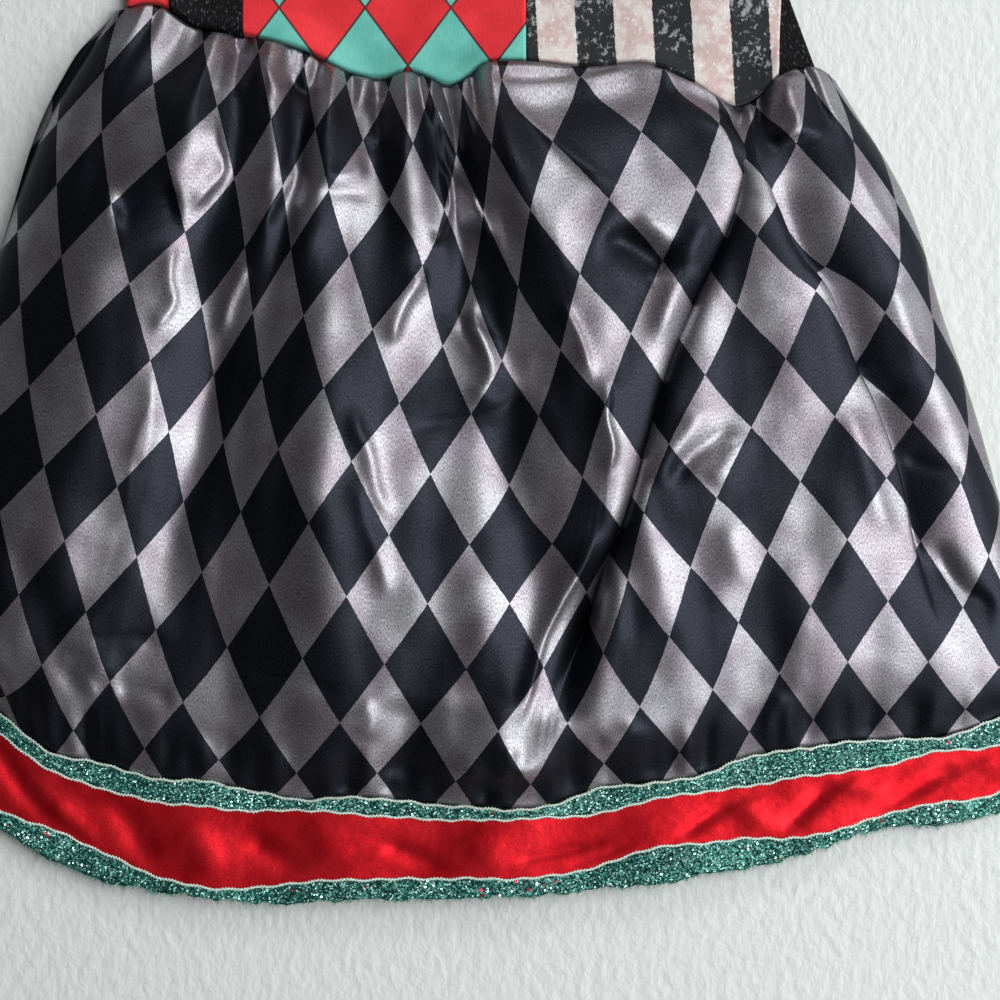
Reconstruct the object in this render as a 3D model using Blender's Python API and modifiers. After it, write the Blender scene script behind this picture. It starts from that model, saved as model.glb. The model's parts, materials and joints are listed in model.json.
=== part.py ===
"""Clown costume: a girl's sleeveless party dress, laid flat on its back with its front up.

The bodice front is half harlequin and half stripes, with two wide elastic straps. The skirt is a
straight panel gathered into the waist, printed with diamonds 31 mm wide and 54 mm tall, and ends
in a border of glitter ribbon, red satin and glitter ribbon. Every piece is a wall of cloth.

+X runs to the right as it lies, +Y to the neck, +Z up from the surface. Tables are in millimetres.
"""

import bmesh
import bpy
import numpy as np

MM = 0.001
SEAM_GAP = 0.3  # between two pieces that are sewn together
JOIN_WITHIN = 0.02  # grids of one piece share the points that lie this close
SATIN = 1.2  # wall of the skirt
JERSEY = 1.2  # wall of the bodice
ELASTIC = 1.3
ON_BACK = SATIN + SEAM_GAP + SATIN  # outer face of a front that lies on its back
RIBBON = 1.0  # wall of each strip of the border
STRAP_WIDTH = 29.6

# The skirt's print counts the cloth: a column is half a diamond across, and a row half a diamond
# down. Column 0 lies near the middle of the front, and row 0 about two thirds of the way down.
COLUMN = 15.6
ROW = 27.0
LEFT_SEAM, RIGHT_SEAM = -14.5, 17.0
WAIST, HEM = -8.2, 3.5

# Waist seam, as it lies: (x, y).
WAIST_LINE = (
    (-141, 62), (-124, 64), (-109, 55), (-89, 51.5), (-64, 45), (-48, 37), (-32, 34.5), (-24, 37),
    (-4, 32), (8, 40), (20, 41), (47, 39), (78, 39), (90, 33), (109.6, 23.5), (116, 26), (126, 35),
    (141, 38), (149, 38),
)

# Where the columns of the front's print cross each row, as x.
GRAIN_COLUMNS = (LEFT_SEAM, -12, -8, -4, 0, 4, 8, 12, 15, RIGHT_SEAM)
GRAIN_X = (
    (WAIST, (-141, -124, -82, -47, -15, 15, 78, 116, 142, 149)),
    (-6, (-168, -145, -92, -54, -9, 26, 89, 126, 166, 178)),
    (-4, (-184, -161, -105, -64, -9, 38, 88, 137, 181, 192)),
    (-2, (-198, -174, -118, -74, -14, 44, 86, 146, 194, 208)),
    (0, (-211, -186, -131, -78, -15, 45, 91, 152, 198, 221)),
    (2, (-220, -194, -142, -82, -18, 40, 99, 153, 201, 227)),
    (HEM, (-222.4, -198, -143, -84, -20, 41, 101, 154, 201, 230)),
)
# The same places as y. The waist and the hem rows follow their own lines.
GRAIN_Y = (
    (-6, (17, 12, -7, -12, -20, -20, -12, -14, -16, -15)),
    (-4, (-25, -38, -58, -62, -73, -73, -64, -55, -62, -60)),
    (-2, (-67, -90, -108, -115, -124, -124, -113, -102, -106, -109)),
    (0, (-111, -140, -158, -169, -176, -171, -162, -151, -154, -162)),
    (2, (-157, -189, -208, -222, -224, -223, -211, -200, -201, -204)),
)

# How high the skirt stands over its hem along the middle: (row, height).
PUFF = (
    (WAIST, 2), (-8, 8), (-7.6, 15), (-7, 20), (-6, 23), (-4, 23.5), (-2, 22.5), (0, 20), (1.5, 16),
    (2.5, 10), (3.1, 4), (HEM, 0),
)
SIDE_ROUNDNESS = 6  # a higher power keeps the top flat further out, and turns the side over sooner

# Main folds: name, line as (column, row), rise, half width. A trough has a negative rise.
FOLDS = (
    ("left ridge", ((-8.7, -7.9), (-9.1, -7.1), (-8.1, -6.2), (-9.0, -5.0), (-9.0, -2.4)), 5, 9),
    ("left trough", ((-10.0, -7.8), (-9.8, -7.3), (-10.2, -6.3)), -5, 9),
    ("left dent", ((-9.3, -5.5), (-11.0, -4.9)), -4, 9),
    ("second puff", ((-7.8, -8.0), (-7.5, -6.9)), 4, 10),
    ("second ridge", ((-5.6, -6.6), (-6.7, -5.2), (-7.5, -4.0)), 4, 8),
    ("deep trough", ((-5.2, -7.6), (-5.3, -6.0), (-6.0, -4.6), (-5.9, -2.1), (-6.4, -0.4)), -8, 9),
    ("third puff", ((-4.0, -6.3), (-2.2, -6.0)), 4, 11),
    ("fourth ridge", ((-0.8, -8.0), (0.3, -7.4), (0.8, -6.4), (-0.7, -5.2), (-1.4, -3.7)), 6, 8),
    ("middle trough", ((1.0, -7.9), (2.0, -6.9), (1.6, -5.8), (0.5, -4.6)), -8, 9),
    ("inner trough", ((3.4, -8.1), (2.9, -6.9), (2.9, -5.7), (3.1, -4.4)), -7, 8),
    ("middle ridge", ((0.6, -4.7), (1.3, -4.2), (1.9, -3.7), (1.4, -2.8)), 4, 8),
    ("pocket", ((5.7, -5.5), (7.2, -4.9)), -4, 8),
    ("long trough",
     ((10.7, -7.4), (10.2, -6.0), (8.1, -4.0), (7.1, -2.2), (5.2, -0.3), (3.5, 1.9)), -9, 9),
    ("long ridge", ((7.0, -4.4), (5.3, -2.6), (5.0, -1.2), (3.3, 0.5)), 5, 9),
    ("side lip", ((11.4, -7.2), (11.6, -5.9), (12.0, -4.6), (12.6, -1.8), (13.6, 0.9)), 4, 10),
    ("side trough", ((12.2, -7.2), (12.6, -5.4), (13.0, -3.1), (13.7, -0.1), (15.2, 2.2)), -9, 9),
    ("side puff", ((13.2, -8.0), (13.2, -7.0)), 5, 10),
    ("edge ridge", ((14.6, -6.2), (14.8, -4.6), (14.8, -2.8), (15.4, -1.3)), 4, 9),
    ("right swoop", ((14.5, 0.1), (15.1, 0.9), (16.2, 1.0)), -4, 9),
    ("low trough", ((-11.9, 0.1), (-9.9, 1.3), (-8.5, 2.4)), -4, 10),
    ("low ridge", ((-9.6, 1.1), (-8.1, 2.1)), 3, 9),
    ("last cup", ((3.9, 1.7), (3.3, 2.6), (2.9, 3.0)), 3, 9),
)
FOLD_FADE = 0.22  # share of a fold's length over which each end dies away
FREE_AT_WAIST, FREE_AT_HEM = 0.25, 0.8  # rows over which the folds come in from each seam
HEM_LIFT_ROWS = 2.0  # rows below the waist over which the cloth takes the hem's height

# The back shows a little beyond the front on the upper left: how far, the shares of the way down
# where it is fully out and where it has gone in again, and the share of the width that it takes.
BACK_PEEK, PEEK_OUT, PEEK_IN, PEEK_WIDTH = 5.0, 0.08, 0.45, 0.2

# Gathers at the seam: column there, depth, half width, and how far down each one runs.
GATHERS = (
    (-11.4, 3, 7, 30), (-10.4, 6, 7, 45), (-8.9, 3, 6, 22), (-7.3, 5, 7, 35), (-6.4, 4, 6, 30),
    (-5.4, 6, 7, 50), (-4.1, 6, 7, 45), (-2.0, 7, 7, 50), (0.6, 6, 7, 45), (2.0, 4, 6, 40),
    (3.2, 6, 7, 60), (5.6, 2, 7, 25), (11.2, 5, 7, 60), (12.1, 6, 6, 40), (13.9, 4, 7, 35),
)

# The border as it lies: x, then the y of its upper edge, of the red band's two edges, of the raw edge.
BORDER = (
    (-240, -160, -168, -216, -228),
    (-205, -203, -212, -251, -258),
    (-186, -222, -230, -261, -268),
    (-166, -237, -244, -268, -280),
    (-146, -241, -251, -277, -288),
    (-126, -247, -256, -286, -292),
    (-106, -248, -258, -291, -295),
    (-86, -252, -260, -291.5, -297),
    (-66, -255.5, -259.5, -289, -296.5),
    (-46, -254.5, -261, -288, -296),
    (-6, -258, -263.5, -287.5, -296),
    (34, -258, -262.5, -286.5, -294),
    (54, -251, -261, -282.5, -291.5),
    (74, -249, -255.5, -275.5, -290),
    (94, -246, -252.5, -273.5, -286.5),
    (114, -238.5, -250, -271.5, -283),
    (136, -235, -246, -271, -278),
    (155, -232.5, -244, -266.5, -270.5),
    (174, -231.5, -240.5, -260.5, -266.5),
    (190, -231, -236, -257.5, -266),
    (214, -223, -234, -253.5, -261),
    (240, -206, -217, -236, -244),
)
BORDER_PARTS = ("glitter_upper", "band", "glitter_lower")
BORDER_FLARE = 0.0015  # the border's lines reach out this much further for each millimetre down
HEM_ARCH = 8.0  # the front of the hem stands this far off the back in the middle
HEM_REACH = 225.0  # and comes down to it this far to each side
HEM_WAVE, HEM_WAVES = 0.8, 7
RAW_EDGE_DROP = 0.2  # share of the arch that the border loses on its way to its raw edge
BORDER_DEPTH = 45.0  # about how deep the border is

# Bodice: each side's outline from the waist to the shoulder as (share of the way up, x, y).
LEFT_OUTLINE = (
    (0, -136, 62), (0.35, -135, 146), (0.45, -126, 166), (0.56, -106, 190), (0.75, -96, 232),
    (1, -92, 285),
)
RIGHT_OUTLINE = (
    (0, 126, 35), (0.35, 128, 146), (0.45, 124, 166), (0.56, 113, 190), (0.75, 109, 232),
    (1, 116, 285),
)
WAIST_DROOP = 0.25  # share of the way up over which the bodice bends to the waist seam
CENTRE_SEAM = ((0, 24.5), (0.35, 24), (1, 12))  # share of the way up to the neckline, x
NECK_CENTRE, NECK_TOP, NECK_HALF_WIDTH = 12.0, 297.0, 58.0
FRONT_NECK_DEPTH, BACK_NECK_DEPTH = 59.0, 22.0
NECK_SHARE = 0.74  # of the way up, where the neckline is lowest
FRONT_SEAM_FOOT = 41.0  # y where the centre seam meets the waist
NECK_ROWS, BODY_ROWS = 6, 8
BODICE_ACROSS = (27, 17)  # points along the waist of its left half and its right half
LEFT_STRAP = ((-104, 56), (-104, 120), (-92, 200), (-70, 289))
RIGHT_STRAP = ((127.5, 37), (115, 66), (98, 110), (89, 170), (88, 230), (94, 289))
STRAP_END = 0.12  # share of a strap's length over which its lower end bends to the waist seam
# The bodice front stays up this far beside the strap under it, and then comes down over this far.
STRAP_LIFT_MARGIN, STRAP_LIFT_REACH = 8.0, 18.0

# The grids' spacing.
FRONT_ROWS_AT_WAIST = (WAIST, -8.05, -7.85, -7.6, -7.3, -6.9)
FRONT_ROWS_BETWEEN = (-6.4, 1.5, 0.72)  # first, last, step
FRONT_ROWS_AT_HEM = (1.9, 2.5, 3.0, 3.3, HEM)
FRONT_COLUMN_STEP, BACK_COLUMN_STEP = 0.48, 1.0
BACK_ROWS = 8
STRIP_ROWS, BAND_ROWS = 2, 4
STRAP_ROWS, STRAP_ACROSS = 13, 5


def smooth_line(at, places, values):
    """The smooth curve through values at their places, read at each place asked for."""
    places = np.asarray(places, float)
    values = np.asarray(values, float)
    at = np.clip(np.asarray(at, float), places[0], places[-1])
    slopes = np.gradient(values, places, axis=0)
    i = np.clip(np.searchsorted(places, at, side="right") - 1, 0, len(places) - 2)
    span = places[i + 1] - places[i]
    t = (at - places[i]) / span
    if values.ndim > 1:
        t, span = t[..., None], span[..., None]
    start = (1 + 2 * t) * (1 - t) ** 2 * values[i] + t * (1 - t) ** 2 * span * slopes[i]
    end = t * t * (3 - 2 * t) * values[i + 1] - t * t * (1 - t) * span * slopes[i + 1]
    return start + end


def soft_step(t):
    t = np.clip(t, 0, 1)
    return t * t * (3 - 2 * t)


def nearest_on(points, line, samples=32):
    """How far each point is from a smooth line, and where along it the nearest place is, 0 to 1."""
    line = np.asarray(line, float)
    shares = np.linspace(0, 1, samples)
    lengths = np.r_[0, np.cumsum(np.linalg.norm(np.diff(line, axis=0), axis=1))]
    dense = smooth_line(shares, lengths / lengths[-1], line)
    start, run = dense[:-1], np.diff(dense, axis=0)
    away = points[..., None, :] - start
    t = np.clip((away * run).sum(-1) / (run * run).sum(-1), 0, 1)
    distance = np.linalg.norm(away - t[..., None] * run, axis=-1)
    nearest = distance.argmin(-1)
    t = np.take_along_axis(t, nearest[..., None], -1)[..., 0]
    return distance.min(-1), (nearest + t) / (samples - 1)


def on_cloth(column, row):
    """A place of the print as millimetres of cloth."""
    return np.stack([np.asarray(column) * COLUMN, np.asarray(row) * ROW], -1)


def waist_points():
    """x of every corner of the waist seam, which the bodice and the skirt share."""
    left, middle, right = LEFT_OUTLINE[0][1], CENTRE_SEAM[0][1], RIGHT_OUTLINE[0][1]
    halves = np.linspace(left, middle, BODICE_ACROSS[0]), np.linspace(middle, right, BODICE_ACROSS[1])
    ends = GRAIN_X[0][1][0], WAIST_LINE[-2][0], GRAIN_X[0][1][-1]
    return np.unique(np.r_[halves[0], halves[1], ends])


def waist_y(x):
    places, heights = zip(*WAIST_LINE)
    corners = waist_points()
    return np.interp(x, corners, smooth_line(corners, places, heights))


def border_line(x, which):
    """y of one of the border's four lines: 0 is its upper edge, 3 the raw edge."""
    table = np.array(BORDER)
    return smooth_line(x, table[:, 0], table[:, 1 + which])


def hem_height(x):
    """How far the front stands off the back along the skirt's lower edge."""
    reach = np.clip(np.abs(x) / HEM_REACH, 0, 1)
    wave = HEM_WAVE * np.sin(np.pi * HEM_WAVES * x / HEM_REACH)
    return (HEM_ARCH + wave) * (1 - reach**2)


def skirt_columns(most):
    """Columns of the print for a grid: one at each corner of the waist seam, and none wider than this."""
    fine = np.linspace(LEFT_SEAM, RIGHT_SEAM, 4000)
    corners = np.interp(waist_points(), smooth_line(fine, GRAIN_COLUMNS, GRAIN_X[0][1]), fine)
    columns = [LEFT_SEAM]
    for start, end in zip(corners, corners[1:]):
        parts = int(np.ceil((end - start) / most))
        columns.extend(np.linspace(start, end, parts + 1)[1:])
    return np.array(columns)


def skirt_front_points(columns, rows):
    """The outer face of the skirt's front, a grid of rows down and columns across."""
    column, row = np.meshgrid(columns, rows)
    rows_of_x = [level for level, _ in GRAIN_X]
    xs = np.array([smooth_line(columns, GRAIN_COLUMNS, values) for _, values in GRAIN_X])
    waist = waist_y(xs[0]) - SEAM_GAP
    hem = border_line(xs[-1], 0) + SEAM_GAP
    ys = [smooth_line(columns, GRAIN_COLUMNS, values) for _, values in GRAIN_Y]
    x = smooth_line(rows, rows_of_x, xs)
    y = smooth_line(rows, rows_of_x, np.array([waist, *ys, hem]))
    left, right = x[:, :1], x[:, -1:]
    across = 2 * (x - left) / (right - left) - 1
    rounded = np.sqrt(np.clip(1 - np.abs(across) ** SIDE_ROUNDNESS, 0, 1))
    puff_rows, heights = zip(*PUFF)
    puff = smooth_line(row, puff_rows, heights)
    height = (hem_height(x) * soft_step((row - WAIST) / HEM_LIFT_ROWS) + puff) * rounded
    free = soft_step((row - WAIST) / FREE_AT_WAIST) * soft_step((HEM - row) / FREE_AT_HEM) * rounded**2
    height = np.maximum(height + free * fold_relief(column, row), 0)
    return np.stack([x, y, ON_BACK + height], -1)


def fold_relief(column, row):
    """What the folds and gathers add to the height of the cloth."""
    place = on_cloth(column, row)
    relief = np.zeros(column.shape)
    for _, line, rise, half in FOLDS:
        away, share = nearest_on(place, on_cloth(*np.array(line).T))
        fade = soft_step(share / FOLD_FADE) * soft_step((1 - share) / FOLD_FADE)
        relief += rise * np.exp(-((away / half) ** 2)) * fade
    down = place[..., 1] - WAIST * ROW
    for at, depth, half, reach in GATHERS:
        across = place[..., 0] - at * COLUMN
        relief -= depth * np.exp(-((across / half) ** 2)) * (1 - soft_step(down / reach))
    return relief


def skirt_back_points(columns, rows):
    """The underside of the skirt's back, flat on the surface. It shows a little on the upper left."""
    front = skirt_front_points(columns, rows)
    x, y = front[..., 0].copy(), front[..., 1]
    share = (np.asarray(rows)[:, None] - WAIST) / (HEM - WAIST)
    peek = BACK_PEEK * soft_step(share / PEEK_OUT) * (1 - soft_step(share / PEEK_IN))
    from_left = (np.asarray(columns) - LEFT_SEAM) / (RIGHT_SEAM - LEFT_SEAM)
    x -= peek * (1 - soft_step(from_left / PEEK_WIDTH))
    return np.stack([x, y, np.zeros_like(x)], -1)


def border_points(columns, part, front):
    """One strip of the border, from its upper to its lower edge, between the side seams."""
    hem_x = smooth_line(columns, GRAIN_COLUMNS, GRAIN_X[-1][1])
    first, last = border_line(hem_x, part), border_line(hem_x, part + 1)
    shares = np.linspace(0, 1, BAND_ROWS if BORDER_PARTS[part] == "band" else STRIP_ROWS)
    rows = []
    for share in shares:
        down = border_line(hem_x, 0) - first - (last - first) * share
        x = hem_x * (1 + BORDER_FLARE * down)
        gap = SEAM_GAP / 2 * (1 - 2 * share)
        upper, lower = border_line(x, part), border_line(x, part + 1)
        y = upper + (lower - upper) * share - gap
        z = ON_BACK + hem_height(x) * (1 - RAW_EDGE_DROP * down / BORDER_DEPTH)
        rows.append(np.stack([x, y, z if front else 0 * x], -1))
    return np.array(rows)


def strap_cover(places):
    """How far the bodice front is lifted where the right strap lies beneath it."""
    away, _ = nearest_on(places, RIGHT_STRAP)
    beside = np.clip((away - STRAP_WIDTH / 2 - STRAP_LIFT_MARGIN) / STRAP_LIFT_REACH, 0, 1)
    return (ELASTIC + SEAM_GAP) * (1 - soft_step(beside))


def bodice_top(places):
    """Upper face of the bodice front."""
    return JERSEY + SEAM_GAP + JERSEY + strap_cover(places)


def middle_edge(share, depth, side):
    """The bodice's inner edge: up the centre seam, then round a quarter of the neckline to one side."""
    lowest = NECK_TOP - depth
    up = np.clip(share / NECK_SHARE, 0, 1)
    seam_y = FRONT_SEAM_FOOT + (lowest - FRONT_SEAM_FOOT) * up
    seam = np.stack([smooth_line(up, *zip(*CENTRE_SEAM)), seam_y], -1)
    angle = np.pi / 2 * np.clip((share - NECK_SHARE) / (1 - NECK_SHARE), 0, 1)
    round_neck = np.stack([
        NECK_CENTRE + side * NECK_HALF_WIDTH * np.sin(angle), NECK_TOP - depth * np.cos(angle),
    ], -1)
    return np.where(share[:, None] > NECK_SHARE, round_neck, seam)


def bodice_half(side, neck_depth):
    """A grid from the shoulder down to the waist, its columns running left to right. Side is -1 or 1."""
    share = np.r_[np.linspace(1, NECK_SHARE, NECK_ROWS), np.linspace(NECK_SHARE, 0, BODY_ROWS)[1:]]
    outline = np.array(LEFT_OUTLINE if side < 0 else RIGHT_OUTLINE, float)
    outer = smooth_line(share, outline[:, 0], outline[:, 1:])
    inner = middle_edge(share, neck_depth, side)
    t = np.linspace(0, 1, BODICE_ACROSS[side > 0])[None, :, None]
    grid = outer[:, None] * (1 - t) + inner[:, None] * t
    droop = waist_y(grid[-1, :, 0]) - grid[-1, :, 1]
    grid[..., 1] += droop * (1 - np.clip(share[:, None] / WAIST_DROOP, 0, 1)) ** 2
    return grid if side < 0 else grid[:, ::-1]


def strap_points(path, under):
    """A strap along its path, its lower end cut to the waist seam."""
    path = np.array(path, float)
    share = np.linspace(1, 0, STRAP_ROWS)
    lengths = np.r_[0, np.cumsum(np.linalg.norm(np.diff(path, axis=0), axis=1))]
    middle = smooth_line(share, lengths / lengths[-1], path)
    ahead = np.gradient(middle, axis=0)
    ahead /= np.linalg.norm(ahead, axis=1)[:, None]
    side = np.stack([-ahead[:, 1], ahead[:, 0]], -1)
    t = np.linspace(-0.5, 0.5, STRAP_ACROSS)[None, :, None] * STRAP_WIDTH
    grid = middle[:, None] + side[:, None] * t
    droop = waist_y(grid[-1, :, 0]) + SEAM_GAP - grid[-1, :, 1]
    grid[..., 1] += droop * (1 - np.clip(share[:, None] / STRAP_END, 0, 1))
    z = (JERSEY if under else bodice_top(grid)) + SEAM_GAP + ELASTIC
    return flat(grid, z)


def finish_of(name, colour, roughness, metallic=0.0):
    material = bpy.data.materials.new(name)
    material.use_nodes = True
    shader = material.node_tree.nodes["Principled BSDF"]
    shader.inputs["Base Color"].default_value = (*colour, 1)
    shader.inputs["Roughness"].default_value = roughness
    shader.inputs["Metallic"].default_value = metallic
    return material


def cloth(name, grids, wall, finish, faces_down=False):
    """Grids of points as one open surface, with the wall's thickness behind it."""
    mesh = bpy.data.meshes.new(name)
    surface = bmesh.new()
    for points in grids:
        corners = [[surface.verts.new(point * MM) for point in row] for row in points]
        for upper, lower in zip(corners, corners[1:]):
            for i in range(len(upper) - 1):
                quad = upper[i], lower[i], lower[i + 1], upper[i + 1]
                surface.faces.new(quad[::-1] if faces_down else quad)
    bmesh.ops.remove_doubles(surface, verts=surface.verts, dist=JOIN_WITHIN * MM)
    surface.to_mesh(mesh)
    surface.free()
    mesh.materials.append(finish)
    mesh.shade_smooth()
    piece = bpy.data.objects.new(name, mesh)
    COLLECTION.objects.link(piece)
    thickness = piece.modifiers.new("Wall", "SOLIDIFY")
    thickness.thickness = wall * MM
    thickness.offset = -1
    return piece


def flat(grid, z):
    """A grid of (x, y) at one height, or at a height for each place."""
    return np.concatenate([grid, np.broadcast_to(z, grid.shape[:2])[..., None]], -1)


def make_skirt(satin):
    rows = np.r_[FRONT_ROWS_AT_WAIST, np.arange(*FRONT_ROWS_BETWEEN), FRONT_ROWS_AT_HEM]
    front = skirt_front_points(skirt_columns(FRONT_COLUMN_STEP), rows)
    back = skirt_back_points(skirt_columns(BACK_COLUMN_STEP), np.linspace(WAIST, HEM, BACK_ROWS))
    cloth("skirt_front", [front], SATIN, satin)
    cloth("skirt_back", [back], SATIN, satin, faces_down=True)


def make_border(finishes):
    for part, (name, finish) in enumerate(zip(BORDER_PARTS, finishes)):
        front = border_points(skirt_columns(FRONT_COLUMN_STEP), part, True)
        back = border_points(skirt_columns(BACK_COLUMN_STEP), part, False)
        cloth(f"hem_{name}_front", [front], RIBBON, finish)
        cloth(f"hem_{name}_back", [back], RIBBON, finish, faces_down=True)


def make_bodice(harlequin, stripes, plain):
    left, right = (bodice_half(side, FRONT_NECK_DEPTH) for side in (-1, 1))
    right[..., 0] += SEAM_GAP * np.linspace(1, 0, right.shape[1])
    cloth("bodice_front_harlequin", [flat(left, bodice_top(left))], JERSEY, harlequin)
    cloth("bodice_front_stripes", [flat(right, bodice_top(right))], JERSEY, stripes)
    halves = [flat(bodice_half(side, BACK_NECK_DEPTH), 0.0) for side in (-1, 1)]
    cloth("bodice_back", halves, JERSEY, plain, faces_down=True)


def make_straps(elastic):
    cloth("strap_left", [strap_points(LEFT_STRAP, under=False)], ELASTIC, elastic)
    cloth("strap_right", [strap_points(RIGHT_STRAP, under=True)], ELASTIC, elastic)


for leftover in list(bpy.data.objects):
    bpy.data.objects.remove(leftover, do_unlink=True)
COLLECTION = bpy.data.collections.new("Clown costume")
bpy.context.scene.collection.children.link(COLLECTION)

make_skirt(finish_of("Skirt satin", (0.10, 0.10, 0.12), 0.35))
glitter = finish_of("Glitter ribbon", (0.02, 0.18, 0.15), 0.4, 0.3)
make_border((glitter, finish_of("Red satin", (0.5, 0.01, 0.02), 0.35), glitter))
make_bodice(
    finish_of("Harlequin jersey", (0.75, 0.04, 0.05), 0.7),
    finish_of("Striped jersey", (0.35, 0.30, 0.29), 0.75),
    finish_of("Black jersey", (0.02, 0.02, 0.022), 0.75),
)
make_straps(finish_of("Black elastic", (0.012, 0.012, 0.014), 0.6))
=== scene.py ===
# %% [markdown]
# # A clown costume, laid out flat
# This part is a girl's party dress. Its bodice is half harlequin and half stripes, its skirt is
# printed satin gathered into the waist, and its hem carries a border of glitter ribbon and red
# satin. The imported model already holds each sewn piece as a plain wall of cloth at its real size.
# Here each of them becomes a thin shell with its folds, its print, its sewing and its shine.

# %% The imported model
import json
import math

import bmesh
import bpy
import numpy as np
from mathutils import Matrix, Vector, noise

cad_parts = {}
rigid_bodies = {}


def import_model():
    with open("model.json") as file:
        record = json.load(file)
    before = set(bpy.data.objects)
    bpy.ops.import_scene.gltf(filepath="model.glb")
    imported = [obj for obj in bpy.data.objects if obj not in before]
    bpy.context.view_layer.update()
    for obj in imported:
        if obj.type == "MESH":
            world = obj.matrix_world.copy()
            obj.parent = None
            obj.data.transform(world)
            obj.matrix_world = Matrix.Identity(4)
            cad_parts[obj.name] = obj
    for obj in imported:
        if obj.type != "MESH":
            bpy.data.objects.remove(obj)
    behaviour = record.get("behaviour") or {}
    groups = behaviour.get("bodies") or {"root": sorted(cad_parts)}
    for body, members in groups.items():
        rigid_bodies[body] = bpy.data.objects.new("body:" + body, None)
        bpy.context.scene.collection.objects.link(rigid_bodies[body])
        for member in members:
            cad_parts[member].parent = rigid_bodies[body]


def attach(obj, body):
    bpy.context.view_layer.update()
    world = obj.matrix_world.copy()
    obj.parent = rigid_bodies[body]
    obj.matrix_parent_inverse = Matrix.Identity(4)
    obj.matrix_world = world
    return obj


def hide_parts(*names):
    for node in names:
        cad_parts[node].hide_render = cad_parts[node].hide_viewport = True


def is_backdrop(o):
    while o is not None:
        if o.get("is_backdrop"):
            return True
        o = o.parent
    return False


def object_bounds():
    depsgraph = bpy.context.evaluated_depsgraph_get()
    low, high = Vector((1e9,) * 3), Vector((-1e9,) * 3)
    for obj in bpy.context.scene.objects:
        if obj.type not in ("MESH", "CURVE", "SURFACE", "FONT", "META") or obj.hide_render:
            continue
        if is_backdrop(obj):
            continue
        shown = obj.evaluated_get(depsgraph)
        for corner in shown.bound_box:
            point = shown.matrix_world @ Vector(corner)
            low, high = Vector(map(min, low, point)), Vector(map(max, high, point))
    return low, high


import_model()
cad_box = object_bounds()

# %% [markdown]
# ## Sizes
# Blender counts in metres, and a dressmaker counts in millimetres. All tables below are in
# millimetres, in the garment's own frame: +X to the right, +Y to the neck and +Z off the table.
# They are the same seams and folds that the plain walls have, so each shell lies on its wall.

# %% Seams and cloth
MM = 0.001
SEAM_GAP = 0.3  # between two pieces that are sewn together
SATIN_WALL, JERSEY_WALL, ELASTIC_WALL = 1.2, 1.2, 1.3  # of the plain walls
SHELL = 0.7  # thickness of a finished shell
ON_BACK = SATIN_WALL + SEAM_GAP + SATIN_WALL  # outer face of a front that lies on its back
STRAP_WIDTH = 29.6

COLUMN, ROW = 15.6, 27.0  # half a printed diamond across, and half of one down
LEFT_SEAM, RIGHT_SEAM = -14.5, 17.0  # the front's cut edges, as columns of the print
WAIST, HEM = -8.2, 3.5  # and its gathered and its lower edge, as rows
CUT_WIDTH, CUT_LENGTH = (RIGHT_SEAM - LEFT_SEAM) * COLUMN, (HEM - WAIST) * ROW
print(f"skirt front and back: each cut {CUT_WIDTH:.0f} x {CUT_LENGTH:.0f} mm")

# %% [markdown]
# ## Where the seams and the print lie
# A few tables say how the cloth lies on the table: the waist seam, the lines of the print and the
# edges of the border. Each has only the places that its shape needs.

# %% Lines as they lie
WAIST_LINE = (  # the waist seam as it lies: (x, y)
    (-141, 62), (-124, 64), (-109, 55), (-89, 51.5), (-64, 45), (-48, 37), (-32, 34.5), (-24, 37),
    (-4, 32), (8, 40), (20, 41), (47, 39), (78, 39), (90, 33), (109.6, 23.5), (116, 26), (126, 35),
    (135, 39), (143, 38.5), (149, 34),
)
GRAIN_COLUMNS = (LEFT_SEAM, -12, -8, -4, 0, 4, 8, 12, 15, RIGHT_SEAM)
GRAIN_X = (  # row, then the x where these columns of the print cross it
    (WAIST, (-141, -124, -82, -47, -15, 15, 78, 116, 142, 149)),
    (-6, (-168, -145, -92, -54, -9, 26, 89, 126, 166, 178)),
    (-4, (-184, -161, -105, -64, -9, 38, 88, 137, 181, 192)),
    (-2, (-198, -174, -118, -74, -14, 44, 86, 146, 194, 208)),
    (0, (-211, -186, -131, -78, -15, 45, 91, 152, 198, 221)),
    (2, (-220, -194, -142, -82, -18, 40, 99, 153, 201, 227)),
    (HEM, (-222.4, -198, -143, -84, -20, 41, 101, 154, 201, 230)),
)
GRAIN_Y = (  # the same places as y; the waist and the hem follow their own lines
    (-6, (17, 12, -7, -12, -20, -20, -12, -14, -16, -15)),
    (-4, (-25, -38, -58, -62, -73, -73, -64, -55, -62, -60)),
    (-2, (-67, -90, -108, -115, -124, -124, -113, -102, -106, -109)),
    (0, (-111, -140, -158, -169, -176, -171, -162, -151, -154, -162)),
    (2, (-157, -189, -208, -222, -224, -223, -211, -200, -201, -204)),
)
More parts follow.
